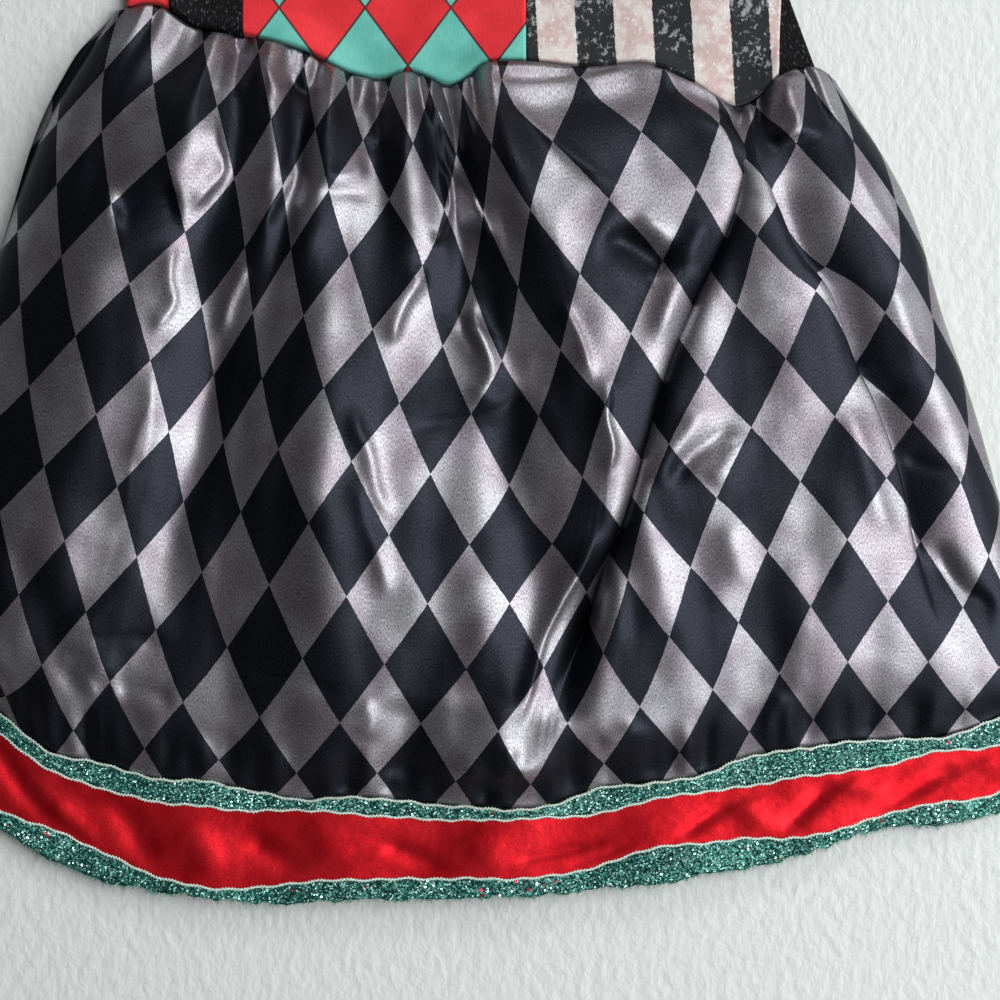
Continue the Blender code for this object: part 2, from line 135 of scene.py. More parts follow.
BORDER = (  # x, then the y of the upper edge, of the red band's two edges, of the raw edge
    (-240, -160, -168, -216, -228),
    (-205, -203, -212, -251, -258),
    (-186, -222, -230, -261, -268),
    (-166, -237, -244, -268, -280),
    (-146, -241, -251, -277, -288),
    (-126, -247, -256, -286, -292),
    (-106, -248, -258, -291, -295),
    (-86, -252, -260, -291.5, -297),
    (-66, -255.5, -259.5, -289, -296.5),
    (-46, -254.5, -261, -288, -296),
    (-6, -258, -263.5, -287.5, -296),
    (34, -258, -262.5, -286.5, -294),
    (54, -251, -261, -282.5, -291.5),
    (74, -249, -255.5, -275.5, -290),
    (94, -246, -252.5, -273.5, -286.5),
    (114, -238.5, -250, -271.5, -283),
    (136, -235, -246, -271, -278),
    (155, -232.5, -244, -266.5, -270.5),
    (174, -231.5, -240.5, -260.5, -266.5),
    (190, -231, -236, -257.5, -266),
    (214, -223, -234, -253.5, -261),
    (240, -206, -217, -236, -244),
)
print("places along the waist:", len(WAIST_LINE), "and along the border:", len(BORDER))

# %% [markdown]
# ## Smooth lines
# Every seam, fold and edge is a smooth curve through a few places. Small functions do that work for
# whole arrays of points at once, which is why they use numpy and not loops: the skirt alone has
# tens of thousands of points.


# %% Curves through tables
def smooth_line(at, places, values):
    """The smooth curve through values at their places, read at each place asked for."""
    places = np.asarray(places, float)
    values = np.asarray(values, float)
    at = np.clip(np.asarray(at, float), places[0], places[-1])
    slopes = np.gradient(values, places, axis=0)
    i = np.clip(np.searchsorted(places, at, side="right") - 1, 0, len(places) - 2)
    span = places[i + 1] - places[i]
    t = (at - places[i]) / span
    if values.ndim > 1:
        t, span = t[..., None], span[..., None]
    start = (1 + 2 * t) * (1 - t) ** 2 * values[i] + t * (1 - t) ** 2 * span * slopes[i]
    end = t * t * (3 - 2 * t) * values[i + 1] - t * t * (1 - t) * span * slopes[i + 1]
    return start + end


def soft_step(t):
    t = np.clip(t, 0, 1)
    return t * t * (3 - 2 * t)


def hump(away, half):
    """A round hump, 1 at its middle and nearly flat again at twice `half`."""
    return np.exp(-((away / half) ** 2))


def faded(share, start, end):
    """1 along a line, dying away over a share of it at its start and at its end."""
    return soft_step(share / start) * soft_step((1 - share) / end)


def along(line, shares):
    """Places on the smooth line through these points, at shares of its length."""
    line = np.asarray(line, float)
    lengths = np.r_[0, np.cumsum(np.linalg.norm(np.diff(line, axis=0), axis=1))]
    return smooth_line(shares, lengths / lengths[-1], line)


def nearest_on(points, line, samples=32):
    """How far each point is from a smooth line, signed by its side, and where along the line."""
    dense = along(line, np.linspace(0, 1, samples))
    start, run = dense[:-1], np.diff(dense, axis=0)
    away = points[..., None, :] - start
    t = np.clip((away * run).sum(-1) / (run * run).sum(-1), 0, 1)
    offset = away - t[..., None] * run
    distance = np.linalg.norm(offset, axis=-1)
    nearest = distance.argmin(-1)[..., None]
    side = np.sign(away[..., 0] * run[:, 1] - away[..., 1] * run[:, 0])
    t, side, distance = (np.take_along_axis(a, nearest, -1)[..., 0] for a in (t, side, distance))
    return distance * side, (nearest[..., 0] + t) / (samples - 1)


def on_cloth(column, row):
    """A place of the print as millimetres of cloth."""
    return np.stack([np.asarray(column) * COLUMN, np.asarray(row) * ROW], -1)


def from_fold(column, row, line):
    """How far places of the print are from a fold's line, and where along it, as nearest_on says."""
    return nearest_on(on_cloth(column, row), on_cloth(*np.array(line).T))


def border_line(x, which):
    """y of one of the border's four lines: 0 is its upper edge, 3 the raw edge."""
    table = np.array(BORDER)
    return smooth_line(x, table[:, 0], table[:, 1 + which])


print(f"middle of the hem: y {border_line(0, 0):.0f} mm, its raw edge {border_line(0, 3):.0f} mm")

# %% [markdown]
# ## Where a point of the cloth lies
# The print was straight before the cloth was gathered, so it is the best ruler there is. One
# function takes a place on the print, as column and row, and gives where it lies on the table.

# %% From the print to the table
HEM_ARCH, HEM_REACH, HEM_WAVE, HEM_WAVES = 8.0, 225.0, 0.8, 7


def waist_y(x):
    places, heights = zip(*WAIST_LINE)
    return smooth_line(x, places, heights)


def hem_height(x):
    """How far the front stands off the back along the skirt's lower edge."""
    reach = np.clip(np.abs(x) / HEM_REACH, 0, 1)
    wave = HEM_WAVE * np.sin(np.pi * HEM_WAVES * x / HEM_REACH)
    return (HEM_ARCH + wave) * (1 - reach**2)


def grain(column, row, samples=800):
    """x and y of places on the print. In both grids, every row of points has one row of the print."""
    columns, rows = np.linspace(LEFT_SEAM, RIGHT_SEAM, samples), row[:, 0]
    xs = np.array([smooth_line(columns, GRAIN_COLUMNS, values) for _, values in GRAIN_X])
    waist = waist_y(xs[0]) - SEAM_GAP
    hem = border_line(xs[-1], 0) + SEAM_GAP
    ys = [smooth_line(columns, GRAIN_COLUMNS, values) for _, values in GRAIN_Y]
    levels = [level for level, _ in GRAIN_X]
    x = smooth_line(rows, levels, xs)
    y = smooth_line(rows, levels, np.array([waist, *ys, hem]))
    return tuple(
        np.array([np.interp(at, columns, line) for at, line in zip(column, lines)]) for lines in (x, y)
    )


print(f"middle of the waist: y {waist_y(0):.0f} mm; the front's hem is {hem_height(0):.0f} mm up")

# %% [markdown]
# ## Tucks, overlaps and drifts
# A tuck pulls the cloth on both sides towards its line, and that hides some of the print. Where the
# cloth folds right over, its left side also lies on its right side. A drift is a place where the
# cloth lies a little off the even grain.

# %% Hidden and shifted cloth
LONG_FOLD = (  # the deepest fold of all, from the waist on the right to the middle of the hem
    (10.7, -7.4), (10.5, -6.1), (9.1, -4.8), (8.1, -4), (7.3, -2.8), (6.9, -2), (6.2, -1.3),
    (5.1, -0.5), (4.4, 0.4), (3.7, 1.3), (3.5, 1.8),
)
FLAP = (  # the edge of a soft flap that lies over the cloth to its right
    (11.5, -7.7), (11.7, -6.6), (12.0, -6.0), (12.3, -5.0), (12.5, -4.2), (12.9, -3.0), (13.3, -1.6),
    (13.8, 0.2), (14.5, 1.8),
)
# A tuck: name, line, millimetres hidden, reach.
TUCKS = (
    ("long tuck", LONG_FOLD, 14, 55),
)
TUCK_TURN, TUCK_CALM = 3.0, 0.3  # mm over which the cloth turns in; share of the reach that eases out
TUCK_FADE, OVERLAP_FADE = (0.15, 0.35), (0.2, 0.3)  # shares of the line at its start and its end
# An overlap: name, line, millimetres hidden, how far it drops, half the width of the turn, and how
# far the drop reaches.
OVERLAPS = (
    ("flap", FLAP, 6, 7, 3.0, 14),
    ("pressed pleat", ((10.45, -8.0), (10.3, -7.2), (10.2, -6.4)), 6, 2.0, 2.5, 8),
)
OVERLAP_TURN, OVERLAP_PULL = 2.2, 22.0  # how sharply it turns; mm that its pull on the print reaches
# Where the cloth lies a little off the even grain: column, row, shift in x and y, and reach.
DRIFTS = (
    (2.4, -4.2, 0, -6, 28),
    (2.4, -1.5, 2, -5, 30),
    (2.4, 1.2, 3, -4, 30),
    (2.2, 3.0, 1, -3, 22),
    (-1.2, -5.2, 4, 3, 22),
    (13.0, -5.2, 0, -9, 18),
    (11.0, -5.0, -1, 4, 18),
    (12.2, -3.8, 1, 4, 18),
    (13.4, -3.2, -1, -5, 16),
    (15.0, -1.0, 5, 4, 18),
    (4.8, -8.0, -2, -6, 20),
    (9.0, -7.0, 4, 6, 20),
)


def tuck_shift(column, row):
    """How far each place moves in x because cloth is hidden in a tuck."""
    shift = np.zeros(column.shape)
    for _, line, hidden, reach in TUCKS:
        away, share = from_fold(column, row, line)
        u = np.clip(away / reach, -1, 1)
        calm = soft_step((1 - np.abs(u)) / TUCK_CALM)
        shift += hidden / 2 * (u - np.tanh(away / TUCK_TURN)) * faded(share, *TUCK_FADE) * calm
    return shift


def overlap_shift(column, row):
    """How the overlaps move each place in x, and in height."""
    dx, dz = np.zeros(column.shape), np.zeros(column.shape)
    for _, line, hidden, drop, half, reach in OVERLAPS:
        away, share = from_fold(column, row, line)
        fade = faded(share, *OVERLAP_FADE)
        turn = np.tanh(OVERLAP_TURN * away / half) * fade
        dx -= hidden / 2 * turn * hump(away, OVERLAP_PULL)
        dz -= drop * (turn + fade) / 2 * np.exp(-np.clip(away, 0, None) / reach)
    return dx, dz


def drift(column, row):
    """How far each place lies off the even grain, in x and in y."""
    place = on_cloth(column, row)
    moved = np.zeros(place.shape)
    for at_column, at_row, dx, dy, reach in DRIFTS:
        away = np.linalg.norm(place - on_cloth(at_column, at_row), axis=-1)
        moved += np.array([dx, dy]) * hump(away, reach)[..., None]
    return moved[..., 0], moved[..., 1]


print(len(TUCKS), "tuck,", len(OVERLAPS), "overlaps and", len(DRIFTS), "drifts")

# %% [markdown]
# ## The skirt's folds
# Satin this stiff folds in a few big soft forms and many small sharp ones. Each fold is a row: its
# name, its line on the print, how far it rises (a trough has a negative rise) and half its width.
# The main folds and the gathers are the ones that the plain wall has too, so they come first.

# %% Main folds and gathers
FOLDS = (
    ("left dent", ((-9.3, -5.5), (-11.0, -4.9)), -4, 9),
    ("middle ridge", ((0.6, -4.7), (1.3, -4.2), (1.9, -3.7), (1.4, -2.8)), 4, 8),
    ("pocket", ((5.7, -5.5), (7.2, -4.9)), -4, 8),
    ("long trough",
     ((10.7, -7.4), (10.2, -6.0), (8.1, -4.0), (6.9, -2.2), (4.8, -0.3), (3.5, 1.9)), -6, 8),
    ("long ridge", ((7.0, -4.4), (5.3, -2.6), (5.0, -1.2), (3.3, 0.5)), 2, 9),
    ("side lip", ((11.4, -7.2), (11.6, -5.9), (12.0, -4.6), (12.6, -1.8), (13.6, 0.9)), 1.5, 10),
    ("side trough", ((12.2, -7.2), (12.6, -5.4), (13.0, -3.1), (13.7, -0.1), (15.2, 2.2)), -4, 9),
    ("side puff", ((13.2, -8.0), (13.2, -7.0)), 5, 10),
    ("edge ridge", ((14.6, -6.2), (14.8, -4.6), (14.8, -2.8), (15.4, -1.3)), 4, 9),
    ("right swoop", ((14.5, 0.1), (15.1, 0.9), (16.2, 1.0)), -4, 9),
    ("low trough", ((-11.9, 0.1), (-9.9, 1.3), (-8.5, 2.4)), -4, 10),
    ("low ridge", ((-9.6, 1.1), (-8.1, 2.1)), 3, 9),
    ("last cup", ((3.9, 1.7), (3.3, 2.6), (2.9, 3.0)), 3, 9),
)
FOLD_FADE = 0.22  # share of a fold's length over which each end dies away
GATHERS = (  # column at the seam, depth, half width, and how far down it runs
    (-10.9, 5, 6, 40), (-8.6, 5, 6, 40), (-6.2, 5, 5, 40), (-2.6, 6, 6, 45), (1.1, 6, 6, 50),
    (5.6, 2, 7, 25), (11.2, 5, 7, 60), (12.1, 6, 6, 40), (13.9, 4, 7, 35),
)


def main_relief(column, row):
    """The folds and gathers that the plain wall has too."""
    place = on_cloth(column, row)
    relief = np.zeros(column.shape)
    for _, line, rise, half in FOLDS:
        away, share = from_fold(column, row, line)
        relief += rise * hump(away, half) * faded(share, FOLD_FADE, FOLD_FADE)
    down = place[..., 1] - WAIST * ROW
    for at, depth, half, reach in GATHERS:
        across = place[..., 0] - at * COLUMN
        relief -= depth * hump(across, half) * (1 - soft_step(down / reach))
    return relief


print(len(FOLDS), "main folds and", len(GATHERS), "gathers")

# %% [markdown]
# Crests and creases give the cloth its crispness. A short reach on one side makes a steep flank,
# which is what catches the light, and the light is at the right. Left and right are those of a
# line that runs down, as most of them do.

# %% Crests and creases
CREASES = (  # name, line, rise, reach to the left and to the right
    ("left dent crease", ((-9.3, -5.5), (-11, -4.9)), -2, 3, 5),
    ("left curl", ((-9.2, -8), (-9.1, -7.6), (-9.1, -7.2)), 1.2, 3, 2.2),
    ("left bend",
     ((-9.1, -6.9), (-8.7, -6.4), (-8.4, -6.1), (-8.7, -5.7), (-9.1, -5.3)), 1.7, 4, 1.8),
    ("left bend below",
     ((-9.2, -4.9), (-9, -4.2), (-8.8, -4), (-9, -3.6), (-9.3, -3.4)), 1.4, 4, 1.8),
    ("second curl", ((-8.1, -8), (-7.7, -7.8), (-7.2, -7.6), (-6.6, -7.4)), 1.5, 3, 2.5),
    ("second hollow", ((-6.7, -7.7), (-6, -7.6), (-5.4, -7.5)), -1.8, 2.5, 2.5),
    ("second crest", ((-5.6, -6.4), (-5.8, -6), (-6.3, -5.6), (-6.5, -5.2)), 1.7, 4, 2.0),
    ("second crest below", ((-6.7, -4.8), (-7, -4.3), (-7.1, -4), (-7, -3.6)), 1.4, 4, 2.6),
    ("patch", ((-4.6, -6.3), (-3.5, -6.3), (-2.7, -6.6)), 1.4, 3.5, 3.5),
    ("patch fold", ((-4.4, -5.9), (-3.4, -6), (-2.6, -6)), -0.8, 1.8, 1.8),
    ("gather crest", ((-2.9, -7.7), (-2.6, -6.9)), 1.8, 3, 3),
    ("twin crest", ((0.1, -8.2), (0, -7.9), (0.4, -7.7), (0.6, -7.4)), 1.6, 3, 2.2),
    ("third bend",
     ((-0.1, -6.9), (0.3, -6.5), (0.3, -6.1), (-0.1, -5.7), (-0.9, -5.3)), 2.2, 4.5, 1.8),
    ("third bend below", ((-0.8, -5), (-1.3, -4.4), (-1.4, -4.1), (-1.4, -3.8)), 1.9, 5, 2.2),
    ("short crest", ((1.3, -6.3), (1.8, -6), (2.2, -5.6)), 1.5, 3, 2),
    ("teardrop crest",
     ((0.7, -4.6), (1.2, -4.4), (1.6, -4), (1.4, -3.5), (0.9, -3.1)), 1.9, 3.5, 2.6),
    ("teardrop hollow", ((0.4, -4.5), (0.9, -4.2), (1.2, -4)), -1.4, 2, 2),
    ("left plateau", ((-9, -2.9), (-8.7, -2.4), (-8.5, -1.8), (-8.6, -1.3)), 1, 5, 3),
    ("middle crest",
     ((-2, -2.9), (-2, -2.6), (-1.6, -2.2), (-1.3, -1.6), (-0.9, -1.2)), 1.6, 4, 2.6),
    ("beside it", ((-1.9, -1.9), (-1.6, -1.2), (-1.2, -0.6), (-1, 0)), 1.2, 4, 3),
    ("cross wrinkle",
     ((-0.8, -2.6), (0.1, -2.8), (0.9, -2.9), (1.8, -3.1), (2.8, -3.5)), -1, 1.8, 1.8),
    ("soft column", ((1, -0.7), (1.3, 0.5), (1.1, 1.5)), 1, 6, 6),
    ("hem valley", ((-0.4, 1.5), (-0.4, 2.4), (-0.5, 3.2)), -1.6, 9, 9),
    ("hem ridge", ((1.9, 1.3), (2, 2.2), (1.9, 3.2)), 3, 12, 8),
    ("low left curl", ((-9.7, 1.8), (-9, 1.9), (-8.5, 2.2), (-8.3, 2.4)), 1, 3, 2.4),
    ("low left hollow", ((-7.9, 2.1), (-7.2, 2), (-6.2, 2)), -1.2, 3, 5),
    ("pressed crease one", ((-9.7, 1.3), (-8.6, 1.4), (-7.5, 1.2), (-6.5, 1.2)), -0.9, 1.8, 1.8),
    ("pressed crease two", ((-4.6, 1.3), (-3.3, 1.3), (-1.9, 1.5)), -0.9, 1.8, 1.8),
    ("low middle crest", ((-1.5, 1.6), (-1.2, 2), (-1.4, 2.3)), 1.2, 4, 3),
    ("long valley", LONG_FOLD, -6, 5, 3.5),
    ("upper ridge", ((8.4, -5.8), (7.3, -4.6), (6.6, -3.7)), 2, 4, 4),
    ("long crest", ((5.3, -3.4), (5, -2.8), (5.1, -2.3), (4.7, -1.9)), 1.8, 4, 1.9),
    ("long crest below",
     ((4.3, -1.2), (3.8, -0.4), (3.3, 0.1), (2.9, 0.6), (2.7, 1.3), (2.5, 2)), 2.1, 5, 2.2),
    ("last curl", ((2.3, 2.2), (2.5, 2.6), (3, 2.9)), 1.5, 3, 3),
    ("right roll crest", ((4.3, -4.7), (4.6, -4.2), (4.7, -3.9), (4.7, -3.4)), 1.4, 4, 2.1),
    ("pressed diagonal", ((4.3, -7.8), (5.1, -7), (5.7, -6.5), (6.1, -6.1)), 1.2, 2.4, 1.8),
    ("diagonal end", ((6.6, -5.7), (6.9, -5.5), (7.2, -5.2)), 1.2, 3, 2.5),
    ("pocket crease", ((5.7, -5.5), (6.3, -5.3), (6.8, -5), (8, -4.8)), -2, 3, 4),
    ("across the fold", ((8.9, -2.6), (8.6, -2.2), (8, -1.8), (7.5, -1.3)), 1.5, 4, 3),
    ("hollow beside it", ((9.7, -2.1), (9.1, -1.9), (8.5, -1.7), (7.9, -1.3)), -1.6, 2.5, 2.5),
    ("second across", ((9.8, -1.9), (9.4, -1.5), (8.9, -1.2)), 1.3, 3, 3),
    ("flat crest", ((9, -0.6), (9.2, -0.1), (9.3, 0.5)), 0.8, 4, 3),
    ("low right crest", ((10.1, 2.3), (9.7, 2.8), (9.5, 3.3)), 1.3, 3, 3),
    ("low puff", ((4.9, 2.6), (5.5, 2.5), (6, 2.3)), 1.3, 4, 4),
    ("puff rim",
     ((12.5, -8), (12.5, -7.6), (12.7, -7.2), (13.1, -7.3), (13.4, -7.7)), 1.6, 2.5, 2.5),
    ("edge line", (
        (14.3, -8), (14.8, -7.2), (14.6, -6.6), (14.8, -6), (15.2, -5.5), (15.5, -5), (16.3, -4.4),
    ), 1.9, 3, 2),
    ("edge ridge crest", ((14.6, -4.7), (14.5, -4.1), (14.6, -3.5), (14.7, -3)), 1.6, 4, 3),
    ("flap crest",
     ((12.3, -2.3), (12.5, -1.6), (12.7, -0.8), (12.9, -0.3), (13.2, 0.1)), 1.5, 4, 2.5),
    ("upper pinch", ((13, -3.1), (13.8, -2.4)), -2, 2.5, 2.5),
    ("lower pinch", ((13.6, -1.4), (14.2, -1.2), (15.2, -1.1)), -1.7, 2, 3),
    ("right swoop crease", ((14.3, -0.1), (14.9, 0.6), (16.3, 0.9)), -4, 4, 4),
)
print(len(CREASES), "crests and creases")

# %% [markdown]
# Right under the waist seam the gathers break up into small pleats. A stitched gather is never
# straight, so each pleat sways a little on its way down, and widens as it dies away.

# %% Small pleats
WAIST_PLEATS = (  # column at the seam, rise, half width, and how far down it runs
    (-12.6, 1.5, 3, 25), (-11.9, -2.5, 3, 30), (-11.0, 2, 4, 26), (-10.3, -4, 3.5, 36),
    (-9.6, 4, 3.5, 36), (-8.9, -3, 3, 30), (-8.2, 3.5, 3.5, 26), (-7.5, 3.5, 3.5, 30),
    (-6.8, -5, 3.5, 34), (-6.1, 3, 3.5, 26), (-5.4, -5, 3.5, 42), (-4.6, 4.5, 3.5, 34),
    (-3.8, -4, 3, 30), (-3.1, 4, 3.5, 34), (-2.3, -5, 4, 44), (-1.2, 4.5, 3.5, 34),
    (-0.5, -3, 2.5, 26), (0.2, 5, 3, 34), (1.1, -5, 3.5, 50), (1.9, 3, 3, 30),
    (2.7, -6, 4, 40), (3.6, 2, 3, 20), (11.3, -3, 2.6, 30), (12.3, -3, 2, 20),
    (13.1, 3, 5, 30), (14.2, -5, 2.4, 34), (14.8, 3, 2.2, 30), (15.6, -2.5, 2, 24),
    (16.2, 2, 2, 20),
)
CRISPNESS = 1.85  # one dial for all the crests and creases
CREST_POINT = 1.2  # how pointed their profile is
# How far a pleat sways in mm, mm down for each radian of it, and its turn from column to column.
PLEAT_SWAY, PLEAT_BEND, PLEAT_TURN = 3.0, 16.0, 2.1
PLEAT_LASTING = 0.7  # under 1, a pleat keeps more of its height on the way down


def fine_relief(column, row):
    """Crests and creases, each steeper on one side, and the small pleats at the waist."""
    place = on_cloth(column, row)
    relief = np.zeros(column.shape)
    for _, line, rise, left, right in CREASES:
        away, share = from_fold(column, row, line)
        half = np.where(away < 0, left, right)
        profile = CRISPNESS * rise / np.cosh(away / half * CREST_POINT)
        relief += profile * faded(share, FOLD_FADE, FOLD_FADE)
    down = place[..., 1] - WAIST * ROW
    for at, rise, half, reach in WAIST_PLEATS:
        sway = PLEAT_SWAY * np.sin(down / PLEAT_BEND + at * PLEAT_TURN) * np.clip(down / reach, 0, 1)
        across = (place[..., 0] - at * COLUMN + sway) / (half * (1 + down / reach))
        relief += rise * hump(across, 1) * (1 - soft_step(down / reach)) ** PLEAT_LASTING
    return relief


print(len(WAIST_PLEATS), "small pleats")

# %% [markdown]
# The swells are the widest forms of all: three long rolls and the hollows between them. The
# gathering makes shorter ones under the waist. Each row is a line down the cloth, from the left
# seam to the right one, as (row, column, height) at the waist and again at lower rows.

# %% Rolls and hollows
SWELLS = (
    ("left seam", (WAIST, LEFT_SEAM, 0), (HEM, LEFT_SEAM, 0)),
    ("left shoulder", (WAIST, -13, 0), (-6.5, -13, 2), (-5, -13, 4), (-2, -12.8, 5),
     (1, -12.6, 4), (2.2, -12.5, 1), (HEM, -12.5, 0)),
    ("left roll", (WAIST, -9.6, 0), (-6.5, -9.6, 2), (-5, -10.7, 6), (-3.5, -10.6, 9),
     (-2, -10.2, 9), (-0.5, -10.4, 8), (1, -10.2, 6), (2.2, -9.8, 2), (HEM, -9.5, 0)),
    ("left hollow", (WAIST, -8.2, 0), (-6.5, -8, -2), (-5, -8.2, -5), (-3.5, -7.5, -8),
     (-2, -6.9, -9), (-0.5, -6.9, -9), (1, -6.3, -7), (2.2, -5.9, -3), (HEM, -6, 0)),
    ("middle roll", (WAIST, -5, 0), (-6.5, -4.8, 0), (-5, -4.3, 5), (-3.5, -3.4, 8),
     (-2, -2.8, 10), (-0.5, -2.5, 10), (1, -2.2, 7), (2.2, -2.3, 2), (HEM, -2.2, 0)),
    ("middle hollow", (WAIST, 0.3, 0), (-6.5, 0.3, -2), (-5, 1.5, -5), (-3.5, 2, -6),
     (-2, 2.1, -6), (-0.5, 2.6, -4), (1, 3.0, -2), (2.2, 3.0, 0), (HEM, 3.2, 0)),
    ("right roll", (WAIST, 4.2, 0), (-6.5, 4.4, 3), (-5, 4.5, 5), (-3.5, 4.4, 6),
     (-2, 4.4, 5), (-0.5, 3.8, 1.5), (1, 3.5, 0), (2.2, 3.3, 0), (HEM, 3.4, 0)),
    ("long hollow", (WAIST, 10.8, 0), (-6.5, 10.2, -1), (-5, 8.8, -1), (-3.5, 7.4, -1),
     (-2, 6.6, -2), (-0.5, 5.0, -3), (1, 4.0, -3), (2.2, 3.7, -1), (HEM, 3.7, 0)),
    ("after it", (WAIST, 11.2, 0), (-6.5, 11.0, 1), (-5, 9.4, 3), (-3.5, 8.2, 3.5), (-2, 7.6, 4),
     (-0.5, 6.2, 4), (1, 5.0, 3), (2.2, 4.6, 2), (HEM, 4.8, 0)),
    ("flap edge", (WAIST, 11.6, 0), (-7.5, 11.7, 1.5), (-6.5, 11.9, 2), (-5, 12.3, 1.5),
     (-3.5, 12.7, 0), (-2, 13, 0), (-0.5, 13.4, 0), (1, 14.2, 0), (2.2, 14.6, 0), (HEM, 14.8, 0)),
    ("flap foot", (WAIST, 12.2, 0), (-7.5, 12.4, -2), (-6.5, 12.6, -4), (-5, 12.9, -4),
     (-3.5, 13.3, -5), (-2, 13.6, -5), (-0.5, 14, -4), (1, 14.8, -3), (2.2, 15.1, -1), (HEM, 15.3, 0)),
    ("edge roll", (WAIST, 14.4, 0), (-7.5, 14.8, 3), (-6, 14.8, 3), (-4.5, 14.6, 3), (-3, 14.7, 3),
     (-1.5, 15, 2), (0, 15.3, 1), (1.5, 15.8, 0), (HEM, 16, 0)),
    ("right seam", (WAIST, RIGHT_SEAM, 0), (HEM, RIGHT_SEAM, 0)),
)
BELOW = -4.4  # the row of the print where the pleats under the waist end
PLEATS = (
    ("left seam", (WAIST, LEFT_SEAM, 0), (BELOW, LEFT_SEAM, 0)),
    ("first hollow", (WAIST, -10.9, -1.5), (-7.5, -10.9, -4.5), (-6.2, -11.2, -3), (BELOW, -11.4, 0)),
    ("first pleat", (WAIST, -9.9, 3), (-7.5, -9.8, 6), (-6.2, -9.5, 6), (BELOW, -10.2, 0)),
    ("second hollow", (WAIST, -8.6, -3), (-7.5, -8.6, -4.5), (-6.2, -8.2, -6), (BELOW, -8.2, 0)),
    ("second pleat", (WAIST, -7, 3), (-7.5, -7, 6), (-6.2, -6.4, 6), (BELOW, -6.0, 0)),
    ("third hollow", (WAIST, -6.2, -3), (-7.5, -6.1, -4.5), (-6.2, -5.7, -4.5), (BELOW, -5.5, 0)),
    ("third pleat", (WAIST, -4.6, 3), (-7.5, -4.6, 6), (-6.2, -4.4, 6), (BELOW, -4.4, 0)),
    ("fourth hollow", (WAIST, -2.8, -3), (-7.5, -2.8, -6), (-6.2, -2.3, -6), (BELOW, -1.9, 0)),
    ("fourth pleat", (WAIST, -1.2, 3), (-7.5, -1.1, 6), (-6.2, -1.1, 6), (BELOW, -1.3, 0)),
    ("fifth hollow", (WAIST, 0.2, -6), (-7.5, 0.0, -9), (-6.2, 0.1, -9), (BELOW, 0.8, -1.5)),
    ("fifth pleat", (WAIST, 3.7, 3), (-7.5, 3.8, 6), (-6.2, 4.0, 6), (BELOW, 4.3, 0)),
    ("right part", (WAIST, 6.5, -1.5), (-6.2, 6.8, -1.5), (BELOW, 7, 0)),
    ("right seam", (WAIST, RIGHT_SEAM, 0), (BELOW, RIGHT_SEAM, 0)),
)
ROUNDING = (-0.36, -0.12, 0.12, 0.36)  # columns over which the crest of a swell is rounded


def swell(column, row, table):
    """Rolls and hollows: straight from each line to the next along every row, with soft crests."""
    lines = [np.array(line, float) for _, *line in table]
    height = np.zeros(column.shape)
    for i, level in enumerate(row[:, 0]):
        if level > lines[0][-1, 0]:
            break
        at = [smooth_line(level, line[:, 0], line[:, 1]) for line in lines]
        rise = [smooth_line(level, line[:, 0], line[:, 2]) for line in lines]
        height[i] = np.mean([np.interp(column[i] + shift, at, rise) for shift in ROUNDING], axis=0)
    return height


print(len(SWELLS) + len(PLEATS), "lines of rolls and hollows")

# %% [markdown]
# No cloth is even, so a little noise goes over it all: broad swells, long streaks that run down
# from the gathers, and thin ridges where a field of noise crosses zero.

# %% Uneven cloth
UNEVEN = (  # height, how far apart the swells are across and down in mm, seed
    (1.6, (26, 34), 1.5),
    (0.5, (12, 14), 7.5),
    (1.8, (17, 75), 4.5),
)
RIDGES, RIDGE_ROUNDING = (2.0, (24, 36), 2.5), 0.002
PUCKERS = (3.5, (8, 40), 5.5)  # the small gathers over the border
# The ridges lose this share of their height below and to the right of a column and row.
CALM_SHARE, CALM_COLUMN, CALM_ROW, CALM_COLUMNS, CALM_ROWS = 0.6, 4, -7, 4, 3


def crumple(column, row, size, seed):
    """Soft unevenness from -1 to 1."""
    flat = (on_cloth(column, row) / size).reshape(-1, 2)
    values = [noise.noise((u, v, seed)) for u, v in flat]
    return np.array(values).reshape(column.shape)


def uneven_relief(column, row):
    relief = sum(height * crumple(column, row, size, seed) for height, size, seed in UNEVEN)
    height, size, seed = RIDGES
    ridged = 1 - np.sqrt(crumple(column, row, size, seed) ** 2 + RIDGE_ROUNDING)
    calm = soft_step((column - CALM_COLUMN) / CALM_COLUMNS) * soft_step((row - CALM_ROW) / CALM_ROWS)
    return relief + height * (1 - CALM_SHARE * calm) * ridged


print(len(UNEVEN) + 2, "layers of unevenness")

# %% [markdown]
# ## The skirt's front
# This is a loft on the print's own grid. It could come from a simulation only by luck, because a
# simulated skirt never folds where this one does. The rows of points crowd together under the
# waist, where the gathers are. The columns crowd along five lines, where crests and folds are
# sharpest.

